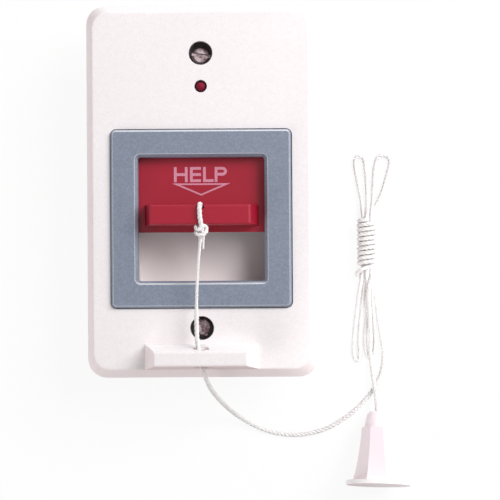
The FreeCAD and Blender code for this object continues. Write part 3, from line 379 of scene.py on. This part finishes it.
def helix():
    """Control points of the wrapping, from its top turn down."""
    x, z = WRAP_AXIS
    out = []
    for k in range(round(WRAP_TURNS * STEPS_PER_TURN) + 1):
        turn = 2 * math.pi * k / STEPS_PER_TURN + math.pi / 2
        y = WRAP_HIGH - WRAP_PITCH * k / STEPS_PER_TURN
        out.append((x + WRAP_RADIUS * math.cos(turn), y, z + WRAP_RADIUS * math.sin(turn)))
    return out


# Print on the slide, in millimetres: four block letters, each with its left
# side and width, and a plain triangle that points down
SLIDE_FACE = 4.3
PRINT_DEPTH = 0.03
LETTER_FOOT = 2.75
LETTER_HEIGHT = 4.6
STROKE = 0.85
BOWL_SHARE = 0.29
BOWL_STEPS = 8
LETTERS = (("H", -8.45, 4.2), ("E", -3.55, 3.35), ("L", 0.45, 3.2), ("P", 4.0, 3.75))
POINTER = ((-9.0, 2.35), (8.75, 2.35), (-0.15, -1.4))
POINTER_LINE = 0.5


def box_line(x0, y0, x1, y1):
    """The outline of a rectangle from its low corner to its high one."""
    return [(x0, y0), (x1, y0), (x1, y1), (x0, y1)]


def letter_outlines(letter, width):
    """Closed outlines of one block letter, its foot at the origin."""
    top, middle = LETTER_HEIGHT - STROKE, (LETTER_HEIGHT - STROKE) / 2
    bars = {"H": [middle], "E": [0, middle, top], "L": [0], "P": []}[letter]
    end = width - STROKE if letter == "H" else width
    out = [box_line(0, 0, STROKE, LETTER_HEIGHT)]
    out += [box_line(STROKE, y, end, y + STROKE) for y in bars]
    if letter == "H":
        out.append(box_line(end, 0, width, LETTER_HEIGHT))
    if letter == "P":
        out.append(letter_bowl(width))
    return out


def letter_bowl(width):
    """Half ring on the right of an upright, down to just below the middle."""
    outer = LETTER_HEIGHT * BOWL_SHARE
    x, y = width - outer, LETTER_HEIGHT - outer
    turns = [math.radians(90 - 180 / BOWL_STEPS * k) for k in range(BOWL_STEPS + 1)]
    big, small = (
        [(x + radius * math.cos(a), y + radius * math.sin(a)) for a in turns]
        for radius in (outer, outer - STROKE)
    )
    heights = (LETTER_HEIGHT, big[-1][1], small[-1][1], small[0][1])
    top, foot, inner_foot, inner_top = [(STROKE, height) for height in heights]
    return [top, *big, foot, inner_foot, *small[::-1], inner_top]


def triangle_lines(corners, thickness):
    """Three bars along the inside of a triangle's sides."""
    a, b, c = corners
    lengths = [(b - c).length, (c - a).length, (a - b).length]
    perimeter = sum(lengths)
    pulls = (p * length for p, length in zip(corners, lengths))
    centre = sum(pulls, Vector((0, 0))) / perimeter
    inset = thickness * perimeter / abs((b - a).cross(c - a))
    inner = [centre + (p - centre) * (1 - inset) for p in corners]
    ends = ((0, 1), (1, 2), (2, 0))
    return [[corners[j], corners[k], inner[k], inner[j]] for j, k in ends]


def print_outlines():
    """All the print's outlines, each letter in its place."""
    out = [
        [(x + left, y + LETTER_FOOT) for x, y in outline]
        for letter, left, width in LETTERS
        for outline in letter_outlines(letter, width)
    ]
    return out + triangle_lines([Vector(p) for p in POINTER], POINTER_LINE)


def flat_print(name, outlines, material):
    """Thin slabs of ink on the slide's face, one over each closed outline."""
    work = bmesh.new()
    for outline in outlines:
        low, high = (
            [work.verts.new((x * MM, y * MM, z * MM)) for x, y in outline]
            for z in (SLIDE_FACE, SLIDE_FACE + PRINT_DEPTH)
        )
        work.faces.new(low[::-1])
        work.faces.new(high)
        for k in range(len(outline)):
            work.faces.new((low[k - 1], low[k], high[k], high[k - 1]))
    bmesh.ops.recalc_face_normals(work, faces=work.faces)
    return mesh_object(name, work, material)


# Camera: straight above, to the right of and below the plate's middle
camera_data = bpy.data.cameras.new("camera")
camera_data.sensor_width = 36.0
camera_data.lens = 69.7
camera_data.clip_start = 0.01
camera = bpy.data.objects.new("camera", camera_data)
camera.location = (0.01465, -0.0181, 0.300)
camera.rotation_euler = (0.0, 0.0, math.radians(-0.35))
bpy.context.scene.collection.objects.link(camera)
bpy.context.scene.camera = camera


# Materials, all made of shader nodes


class Tree:
    """Helpers for the nodes of one material."""

    def __init__(self, name):
        self.material = bpy.data.materials.new(name)
        self.material.use_nodes = True
        self.nodes = self.material.node_tree.nodes
        self.links = self.material.node_tree.links
        self.shader = self.nodes["Principled BSDF"]
        coordinates = self.add("ShaderNodeTexCoord").outputs
        self.place, self.normal = coordinates["Object"], coordinates["Normal"]

    def add(self, kind, values=None, **settings):
        """A node with its settings, and its inputs set or linked by name."""
        node = self.nodes.new(kind)
        for field, value in settings.items():
            setattr(node, field, value)
        for key, value in (values or {}).items():
            self.set(node, key, value)
        return node

    def set(self, node, key, value):
        """Set an input of a node, or link a socket to it."""
        socket = node.inputs[key]
        if isinstance(value, bpy.types.NodeSocket):
            self.links.new(value, socket)
        else:
            socket.default_value = value

    def finished(self, values):
        """The material, once these inputs of its shader are set or linked."""
        for key, value in values.items():
            self.set(self.shader, key, value)
        return self.material

    def noise(self, scale, detail=4.0, rough=0.55, place=None):
        """Noise whose scale is in features per millimetre."""
        values = {
            "Vector": place or self.place,
            "Scale": scale / MM,
            "Detail": detail,
            "Roughness": rough,
        }
        return self.add("ShaderNodeTexNoise", values).outputs["Fac"]

    def ranged(self, value, low, high, start=0.3, end=0.7):
        """Low up to the start, high from the end on, and a ramp between them."""
        values = {0: value, 1: start, 2: end, 3: low, 4: high}
        return self.add("ShaderNodeMapRange", values).outputs[0]

    def mixed(self, share, first, second, blend="MIX"):
        """The first colour, and the second one by its share."""
        node = self.add("ShaderNodeMix", data_type="RGBA", blend_type=blend)
        self.set(node, 0, share)
        self.set(node, 6, first)
        self.set(node, 7, second)
        return node.outputs[2]

    def maths(self, kind, first, second=0.0):
        """The result of one operation on two values."""
        node = self.add("ShaderNodeMath", {0: first, 1: second}, operation=kind)
        return node.outputs[0]

    def times(self, first, second):
        return self.maths("MULTIPLY", first, second)

    def vector(self, kind, first, second):
        node = self.add("ShaderNodeVectorMath", {0: first, 1: second}, operation=kind)
        return node.outputs["Vector"]

    def dot(self, first, second):
        node = self.add("ShaderNodeVectorMath", {0: first, 1: second}, operation="DOT_PRODUCT")
        return node.outputs["Value"]

    def length(self, vector):
        node = self.add("ShaderNodeVectorMath", {0: vector}, operation="LENGTH")
        return node.outputs["Value"]

    def split(self, vector):
        """The three parts of a vector."""
        return tuple(self.add("ShaderNodeSeparateXYZ", {0: vector}).outputs)

    def distance_from(self, centre):
        """Distance in metres from an upright axis through a point."""
        offset = self.vector("SUBTRACT", self.place, tuple(centre))
        return self.length(self.vector("MULTIPLY", offset, (1, 1, 0)))

    def within(self, box):
        """1 inside a box in millimetres, 0 outside it."""
        share = 1.0
        for value, (low, high) in zip(self.split(self.place), box):
            above = self.maths("GREATER_THAN", value, low * MM)
            below = self.maths("LESS_THAN", value, high * MM)
            share = self.times(share, self.times(above, below))
        return share

    def bump(self, height, strength, depth, normal=None):
        """Bump of a depth in millimetres, on top of another normal."""
        values = {"Height": height, "Strength": strength, "Distance": depth * MM}
        node = self.add("ShaderNodeBump", values)
        if normal:
            self.set(node, "Normal", normal)
        return node.outputs["Normal"]

    def round_edge(self, radius):
        """A normal that rounds edges to a radius in millimetres."""
        node = self.add("ShaderNodeBevel", {"Radius": radius * MM}, samples=6)
        return node.outputs["Normal"]

    def edges(self, radius):
        """1 on an edge, 0 on the flat beyond the radius."""
        flat = self.add("ShaderNodeNewGeometry").outputs["True Normal"]
        return self.ranged(self.dot(self.round_edge(radius), flat), 1.0, 0.0, 0.9, 0.99)


def srgb(red, green, blue):
    """A colour as it looks on screen, 0 to 255, for a shader's socket."""
    out = []
    for value in (red, green, blue):
        share = value / 255
        low = share <= 0.04045
        out.append(share / 12.92 if low else ((share + 0.055) / 1.055) ** 2.4)
    return (*out, 1.0)


def darker(colour, share):
    """The colour with all three parts scaled by one share."""
    return tinted(colour, (share, share, share))


def tinted(colour, shares):
    """The colour with each part scaled by its own share."""
    return (*(c * share for c, share in zip(colour, shares)), 1.0)


def moulded(name, colour, rough, edge=0.12, grain=0.02, gloss=0.5, mottle=0.05):
    """A tree for moulded plastic with its grain and edges, and its mottled colour."""
    t = Tree(name)
    broad, fine, speck = t.noise(0.05, 3.0), t.noise(1.6, 5.0, 0.65), t.noise(7.0, 2.0, 0.5)
    shade = t.mixed(t.ranged(broad, 0.0, 1.0), darker(colour, 1.0 - mottle), colour)
    shade = t.mixed(t.ranged(speck, 0.0, 0.25, 0.55, 0.75), shade, darker(colour, 0.9))
    t.set(t.shader, "Roughness", t.ranged(broad, rough - 0.05, rough + 0.06))
    t.set(t.shader, "Specular IOR Level", gloss)
    specks = t.bump(speck, 0.3, grain, t.round_edge(edge))
    t.set(t.shader, "Normal", t.bump(fine, 0.5, grain, specks))
    return t, shade


def plastic(name, colour, rough, **settings):
    """Moulded plastic of one colour."""
    t, shade = moulded(name, colour, rough, **settings)
    return t.finished({"Base Color": shade})


def handle_material(name, colour):
    """The handle's plastic: painted shade on its upward facet and its foot, a painted highlight
    on its rim.
    """
    t, shade = moulded(name, colour, 0.38, edge=0.15, mottle=0.02)
    start = tuple(Vector(HANDLE_START) * MM)
    along = t.dot(t.vector("SUBTRACT", t.place, start), HANDLE_AXIS)
    body = t.ranged(along, 1.0, 0.0, (RIM_AT - 0.3) * MM, RIM_AT * MM)
    rim = t.ranged(along, 0.0, 1.0, (RIM_AT - 0.3) * MM, (RIM_AT - 0.1) * MM)
    upward = t.ranged(t.split(t.normal)[2], 0.0, 1.0, 0.86, 0.9)
    foot = t.ranged(t.dot(t.normal, HANDLE_AXIS), 0.0, 1.0, 0.6, 0.9)
    soil_and_painted_shade = t.ranged(t.split(t.place)[0], 1.0, 0.25, 48 * MM, 72 * MM)
    # Painted shade: the body's upward facet is darker and pinker
    shade = t.mixed(t.times(upward, body), shade, tinted(colour, (0.94, 0.9, 0.92)))
    # Painted highlight: the rim and the flange top are near white
    shade = t.mixed(rim, shade, srgb(255, 250, 252))
    # Painted shade on the foot, darkest on its left and fading to the right
    shade = t.mixed(t.times(foot, soil_and_painted_shade), shade, tinted(colour, (0.6, 0.52, 0.52)))
    return t.finished({"Base Color": shade})


def tray_material(name, colour):
    """The tray's plastic, with painted shade toward its upper right corner."""
    t, shade = moulded(name, colour, 0.5)
    # Painted shade: darker toward the upper right corner
    painted_shade_corner = t.ranged(t.dot(t.place, (0.7, 0.7, 0.0)), 0.0, 1.0, -18 * MM, 3 * MM)
    return t.finished({"Base Color": t.mixed(painted_shade_corner, shade, tinted(colour, (0.65, 0.65, 0.66)))})


def plate_painted_light(t, colour, shade, patch):
    """The plate's colour with painted shade on its left and lower sides, seat,
    wells and under its guide, and a painted highlight on the guide's top.
    """
    x, y, z = t.split(t.place)
    to_right, upward, _ = t.split(t.normal)

    # Painted shade: the sides that face left and down are tinted pinker
    painted_shade_sides = t.ranged(t.maths("MINIMUM", to_right, upward), 1.0, 0.0, -0.6, -0.2)
    shade = t.mixed(painted_shade_sides, shade, (1.045, 0.97, 0.97, 1.0), "MULTIPLY")

    # Painted shade: the seat round the bezel is dark, as a shadow gap
    sunk = t.ranged(z, 1.0, 0.0, (PLATE_FRONT - 1.2) * MM, (PLATE_FRONT - 0.35) * MM)
    shade = t.mixed(t.times(t.within(SEAT), sunk), shade, srgb(70, 68, 72))

    # Painted shade under the cord guide, and a painted highlight on its upper side
    below = t.times(t.within(GUIDE), t.ranged(upward, 1.0, 0.0, -0.95, -0.75))
    shade = t.mixed(below, shade, tinted(colour, (0.71, 0.56, 0.56)))
    # Painted highlight: the guide's upward faces are lifted to near white
    above = t.times(t.within(GUIDE_TOP), t.ranged(upward, 0.0, 1.0, 0.3, 0.5))
    shade = t.mixed(above, shade, srgb(255, 253, 253))

    # Painted shade darkens the two screw wells
    rise = t.maths("SUBTRACT", t.maths("ABSOLUTE", y), SCREW_Y * MM)
    away = t.length(t.add("ShaderNodeCombineXYZ", {0: x, 1: rise}).outputs[0])
    near = t.ranged(away, 1.0, 0.0, WELL_RADIUS * MM, (WELL_RADIUS + 0.15) * MM)
    painted_shade_wells = t.times(t.times(near, sunk), t.ranged(patch, 0.8, 1.0))
    return t.mixed(painted_shade_wells, shade, srgb(40, 32, 34))


def plate_material(name, colour):
    """The plate's plastic, mottled and speckled, with its painted shade and light."""
    t = Tree(name)
    broad, patch = t.noise(0.05, 3.0), t.noise(0.55, 5.0, 0.6)
    fine, speck = t.noise(1.6, 5.0, 0.65), t.noise(2.2, 4.0, 0.65)
    pinker = tinted(colour, (0.98, 0.93, 0.94))
    shade = t.mixed(t.ranged(broad, 0.0, 1.0), darker(colour, 0.975), colour)
    shade = t.mixed(t.ranged(patch, 0.0, 0.6, 0.35, 0.7), shade, pinker)
    shade = t.mixed(t.ranged(speck, 0.0, 0.65, 0.46, 0.7), shade, darker(colour, 0.87))
    specks = t.bump(speck, 0.3, 0.03, t.round_edge(0.2))
    return t.finished({
        "Base Color": plate_painted_light(t, colour, shade, patch),
        "Roughness": t.ranged(broad, 0.38, 0.48),
        "Normal": t.bump(fine, 0.6, 0.03, specks),
    })


def bezel_material(name, colour):
    """Slate plastic, finely sparkled, with painted highlights on its edges and upward bevels."""
    t = Tree(name)
    speck, fine = t.noise(1.7, 4.0, 0.65), t.noise(0.5, 5.0, 0.65)
    sparkle = t.ranged(speck, 0.0, 1.0, 0.35, 0.65)
    shade = t.mixed(sparkle, darker(colour, 0.84), darker(colour, 1.13))
    height, upward = t.split(t.place)[2], t.split(t.normal)[1]
    front = t.ranged(height, 0.0, 1.0, (BEZEL_FRONT - 0.5) * MM, (BEZEL_FRONT - 0.15) * MM)
    # Painted highlights: front edges and bevels that face up are pale
    painted_highlight_up = t.ranged(upward, 0.0, 0.85, 0.4, 0.68)
    painted_highlight_edges = t.times(front, t.maths("MAXIMUM", t.edges(0.5), painted_highlight_up))
    return t.finished({
        "Base Color": t.mixed(painted_highlight_edges, shade, srgb(236, 238, 243)),
        "Roughness": t.ranged(fine, 0.38, 0.48),
        "Coat Weight": 0.2,
        "Coat Roughness": 0.3,
        "Normal": t.bump(speck, 0.35, 0.02, t.round_edge(0.2)),
    })


def metal(name, colour, rough):
    """Metal with fine drawn lines and darker patches."""
    t = Tree(name)
    stretch = t.add("ShaderNodeMapping", {"Vector": t.place, "Scale": (1.0, 40.0, 1.0)})
    lines = t.noise(0.8, 6.0, 0.7, stretch.outputs[0])
    patches = t.noise(0.4, 3.0)
    return t.finished({
        "Metallic": 1.0,
        "Base Color": t.mixed(t.ranged(patches, 0, 1), darker(colour, 0.8), colour),
        "Roughness": t.ranged(lines, rough - 0.08, rough + 0.12),
        "Normal": t.bump(lines, 0.4, 0.01, t.round_edge(0.08)),
    })


def turned_metal(name, colour, rough, centre):
    """Turned screw metal: rings round the screw's own axis, tarnish in patches."""
    t = Tree(name)
    away = t.distance_from(Vector(centre) * MM)
    rings = t.maths("SINE", t.times(away, 2 * math.pi / (RING_PITCH * MM)))
    patches = t.noise(0.5, 5.0, 0.65)
    bright = t.ranged(patches, 0.0, 1.0, 0.42, 0.62)
    return t.finished({
        "Metallic": t.maths("ADD", t.times(bright, 0.5), 0.5),
        "Base Color": t.mixed(bright, srgb(118, 92, 98), colour),
        "Roughness": t.ranged(patches, rough + 0.15, rough, 0.35, 0.65),
        "Normal": t.bump(rings, 0.25, 0.008, t.round_edge(0.1)),
    })


def cord_material(name):
    """White laid cord: fine filaments round each strand, with painted shade between them."""
    t = Tree(name)
    strand = t.add("ShaderNodeUVMap", uv_map="strand").outputs[0]
    along, around, _ = t.split(strand)
    lay = t.maths("ADD", t.times(along, FILAMENT_LAY), around)
    ribs = t.maths("SINE", t.times(lay, 2 * math.pi * FILAMENTS))
    fuzz, soil_and_painted_shade = t.noise(5.0, 4.0, 0.7), t.noise(0.12, 4.0, 0.6)
    shade = t.mixed(t.ranged(soil_and_painted_shade, 0.0, 1.0), srgb(255, 253, 252), srgb(250, 243, 242))
    # Painted shade in the grooves between the filaments
    shade = t.mixed(t.ranged(ribs, 0.12, 0.0, -1.0, 0.2), shade, srgb(222, 208, 208))
    return t.finished({
        "Base Color": shade,
        "Roughness": t.ranged(fuzz, 0.55, 0.75),
        "Sheen Weight": 0.6,
        "Sheen Roughness": 0.4,
        "Subsurface Weight": 0.35,
        "Subsurface Radius": (1.0, 1.0, 1.0),
        "Subsurface Scale": 0.3 * MM,
        "Normal": t.bump(ribs, 0.5, 0.04, t.bump(fuzz, 0.4, 0.02)),
    })


def rubber(name, colour):
    """Dull rubber with a fine rough grain."""
    t = Tree(name)
    fine, speck = t.noise(2.0, 6.0, 0.7), t.noise(0.5, 3.0)
    return t.finished({
        "Base Color": t.mixed(t.ranged(speck, 0, 1), colour, darker(colour, 1.6)),
        "Roughness": t.ranged(fine, 0.72, 0.9),
        "Normal": t.bump(fine, 0.6, 0.03, t.round_edge(0.15)),
    })


def board_material(name):
    """Solder mask with buried tracks and a glass weave under it."""
    t = Tree(name)
    grid = {"Vector": t.place, "Scale": 0.25 / MM, "Mortar Size": 0.05}
    cells = t.add("ShaderNodeTexBrick", grid).outputs["Fac"]
    weave = t.add("ShaderNodeTexChecker", {"Vector": t.place, "Scale": 2.0 / MM})
    shade = t.mixed(cells, srgb(18, 92, 48), srgb(40, 128, 66))
    return t.finished({
        "Base Color": t.mixed(0.12, shade, weave.outputs["Color"], "MULTIPLY"),
        "Roughness": t.ranged(t.noise(0.3), 0.28, 0.42),
        "Coat Weight": 0.4,
        "Normal": t.bump(cells, 0.6, 0.03, t.round_edge(0.08)),
    })


def lens_material(name):
    """Red diffused lamp plastic with a bright crown and a rim of painted shade."""
    t = Tree(name)
    swirl = t.noise(0.9, 3.0)
    low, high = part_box("lamp")
    away = t.distance_from([(a + b) / 2 for a, b in zip(low, high)])
    # Painted shade: the lens darkens toward its rim, where it meets its hole
    rim = t.ranged(away, 0.0, 1.0, 0.95 * MM, 1.3 * MM)
    crown = t.mixed(t.ranged(swirl, 0.0, 1.0), srgb(126, 12, 44), srgb(144, 18, 52))
    return t.finished({
        "Base Color": t.mixed(rim, crown, srgb(88, 22, 36)),
        "Roughness": t.ranged(t.noise(2.5), 0.55, 0.68),
        "Specular IOR Level": 0.2,
        "Subsurface Weight": 0.3,
        "Subsurface Scale": 0.8 * MM,
        "Normal": t.bump(swirl, 0.1, 0.02),
    })


def ink_material(name):
    """Pale pink print, thin enough to show the red in specks."""
    t = Tree(name)
    wear = t.noise(3.0, 5.0, 0.7)
    kept = t.ranged(wear, 1.0, 0.0, 0.4, 0.72)
    return t.finished({
        "Base Color": t.mixed(kept, srgb(186, 98, 122), srgb(220, 154, 176)),
        "Roughness": t.ranged(wear, 0.45, 0.65),
        "Normal": t.bump(wear, 0.4, 0.01),
    })


def seen_rays(nodes, links):
    """1 for rays from the camera, by a reflection or through glass, else 0."""
    rays = nodes.new("ShaderNodeLightPath").outputs
    share = rays["Is Camera Ray"]
    for kind in ("Is Glossy Ray", "Is Transmission Ray"):
        either = nodes.new("ShaderNodeMath")
        either.operation = "MAXIMUM"
        links.new(share, either.inputs[0])
        links.new(rays[kind], either.inputs[1])
        share = either.outputs[0]
    return share


def floor_material(name):
    """Where the floor is seen: white, darker in shadow. For other rays: plain."""
    t = Tree(name)
    t.nodes.remove(t.shader)
    cloudy = t.ranged(t.noise(0.002, 2.0), 0.97, 1.0)
    pale = t.add("ShaderNodeCombineColor", {0: cloudy, 1: cloudy, 2: cloudy})
    lit = t.add("ShaderNodeBsdfDiffuse", {"Color": pale.outputs[0]})
    glow = t.add("ShaderNodeEmission", {"Strength": 1.0})
    blend = t.add("ShaderNodeMixShader", {0: 0.9, 1: lit.outputs[0], 2: glow.outputs[0]})
    plain = t.add("ShaderNodeBsdfDiffuse", {"Color": srgb(230, 227, 227)})
    choice = {0: seen_rays(t.nodes, t.links), 1: plain.outputs[0], 2: blend.outputs[0]}
    both = t.add("ShaderNodeMixShader", choice)
    t.links.new(both.outputs[0], t.nodes["Material Output"].inputs["Surface"])
    return t.material


WHITE = srgb(247, 242, 243)

SLOTS = {
    "white_plastic": plate_material("plate_white", WHITE),
    "bezel_plastic": bezel_material("bezel_plastic", srgb(126, 135, 152)),
    "grey_plastic": tray_material("grey_plastic", srgb(233, 225, 225)),
    "pad_rubber": rubber("pad_rubber", srgb(34, 33, 34)),
    "spring_steel": metal("spring_steel", srgb(196, 196, 198), 0.3),
    "case_plastic": plastic("case_plastic", srgb(240, 236, 233), 0.5, grain=0.03),
    "screw_steel": metal("screw_steel", srgb(196, 180, 180), 0.32),
    "board_green": board_material("board_green"),
    "lamp_red": lens_material("lamp_red"),
    "contact_metal": metal("contact_metal", srgb(205, 200, 186), 0.28),
    "terminal_plastic": plastic("terminal_plastic", srgb(70, 130, 96), 0.45),
    "switch_plastic": plastic("switch_plastic", srgb(44, 44, 47), 0.4),
    "slide_red": plastic(
        "slide_red", srgb(164, 20, 46), 0.34, edge=0.3, gloss=0.4, mottle=0.04
    ),
    "cord_white": cord_material("cord_white"),
    "handle_plastic": handle_material("handle_plastic", srgb(253, 240, 244)),
}

for row in frame["record"]["subparts"]:
    materials = nodes[row["node"]].data.materials
    materials.clear()
    materials.append(SLOTS[row["material_slot"]])

for name, y in (("wall_screw_top", SCREW_Y), ("wall_screw_bottom", -SCREW_Y)):
    steel = turned_metal(name, srgb(202, 184, 186), 0.36, (0, y, 0))
    nodes[name].data.materials[0] = steel


# Cord, loop, knot and print, which all move with the slide

route = mm(RUN + PASSES + helix() + HITCH + TAIL)
line = smooth_line("pull_cord", route)
cord, path = twisted_cord("pull_cord", line, CORD_DIAMETER * MM)
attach(cord, "slide")
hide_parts("cord_run", "cord_hank", "cord_tail")

loop, _ = twisted_cord("bar_loop", smooth_line("bar_loop", mm(LOOP)), CORD_DIAMETER * MM)
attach(loop, "slide")
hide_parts("cord_loop")

knot_diameter = KNOT_SHARE * CORD_DIAMETER * MM
knot, _ = twisted_cord("bar_knot", smooth_line("bar_knot", mm(KNOT)), knot_diameter)
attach(knot, "slide")
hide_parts("cord_knot")

slide_print = flat_print("slide_print", print_outlines(), ink_material("print_ink"))
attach(slide_print, "slide")


# Floor, lamps and world

# Half the floor's side in metres, and its gap below the table in millimetres
FLOOR_HALF = 2.0
FLOOR_GAP = 0.05

# Soft lamps, in metres and watts: the point that they face, and for each one
# its direction, distance, width, height, power, and if gloss shows the lamp
MIDDLE = (0.01, -0.01, 0.0)
LAMPS = (
    ("key", (0.6, 0.42, 0.68), 0.7, 0.42, 0.42, 4.65, True),
    ("right", (1.0, 0.1, 0.1), 0.7, 0.9, 0.12, 0.6, True),
    ("top", (0.1, 1.0, 0.1), 0.7, 0.9, 0.12, 0.8, True),
    ("fill", (-0.76, -0.58, 0.34), 0.9, 0.6, 0.6, 3.1, False),
)

# A narrow lamp for the hank in the plate's shade: the point that it faces in
# millimetres, its direction, distance in metres, power and cone
HANK_MIDDLE = (62, -24, -16)
HANK_TOWARD = (-0.12, -0.75, 0.65)
HANK_DISTANCE = 0.35
HANK_POWER = 2.2
HANK_DEGREES = 9.6

SKY_COLOUR = (1.0, 0.985, 0.985, 1.0)
SKY_STRENGTH = 0.31
PURE_WHITE = (1.0, 1.0, 1.0, 1.0)


def make_floor():
    """A wide floor, a little below the table height on which the alarm lies."""
    half, low = FLOOR_HALF, (TABLE - FLOOR_GAP) * MM
    corners = [(-half, -half, low), (half, -half, low), (half, half, low), (-half, half, low)]
    mesh = bpy.data.meshes.new("floor")
    mesh.from_pydata(corners, [], [(0, 1, 2, 3)])
    return new_object("floor", mesh, floor_material("floor"))


def hang_lamp(name, lamp, middle, toward, distance):
    """The lamp in a direction from a middle, turned to it."""
    thing = bpy.data.objects.new(name, lamp)
    thing.location = middle + toward * distance
    thing.rotation_euler = toward.to_track_quat("Z", "Y").to_euler()
    bpy.context.scene.collection.objects.link(thing)
    return thing


def soft_lamp(name, toward, distance, width, height, power, glossy):
    """A rectangular lamp, with the settings of its row in LAMPS."""
    lamp = bpy.data.lights.new(name, "AREA")
    lamp.shape = "RECTANGLE"
    lamp.size, lamp.size_y = width, height
    lamp.energy = power
    thing = hang_lamp(name, lamp, Vector(MIDDLE), Vector(toward).normalized(), distance)
    thing.visible_glossy = glossy


def hank_lamp():
    """The narrow lamp that lights the hank alone."""
    lamp = bpy.data.lights.new("hank", "SPOT")
    lamp.energy = HANK_POWER
    lamp.spot_size = math.radians(HANK_DEGREES)
    lamp.spot_blend = 0.4
    lamp.shadow_soft_size = 0.015
    hang_lamp("hank", lamp, Vector(HANK_MIDDLE) * MM, Vector(HANK_TOWARD), HANK_DISTANCE)


def make_world():
    """A soft pale sky as a light, and pure white where it is seen."""
    world = bpy.data.worlds.new("studio")
    bpy.context.scene.world = world
    world.use_nodes = True
    nodes, links = world.node_tree.nodes, world.node_tree.links
    sky, white = nodes["Background"], nodes.new("ShaderNodeBackground")
    for node, colour, strength in ((sky, SKY_COLOUR, SKY_STRENGTH), (white, PURE_WHITE, 1.0)):
        node.inputs["Color"].default_value = colour
        node.inputs["Strength"].default_value = strength
    choose = nodes.new("ShaderNodeMixShader")
    for socket, source in enumerate((seen_rays(nodes, links), sky.outputs[0], white.outputs[0])):
        links.new(source, choose.inputs[socket])
    links.new(choose.outputs[0], nodes["World Output"].inputs["Surface"])


floor = make_floor()
for settings in LAMPS:
    soft_lamp(*settings)
hank_lamp()
make_world()

bpy.context.scene.view_settings.view_transform = "Standard"
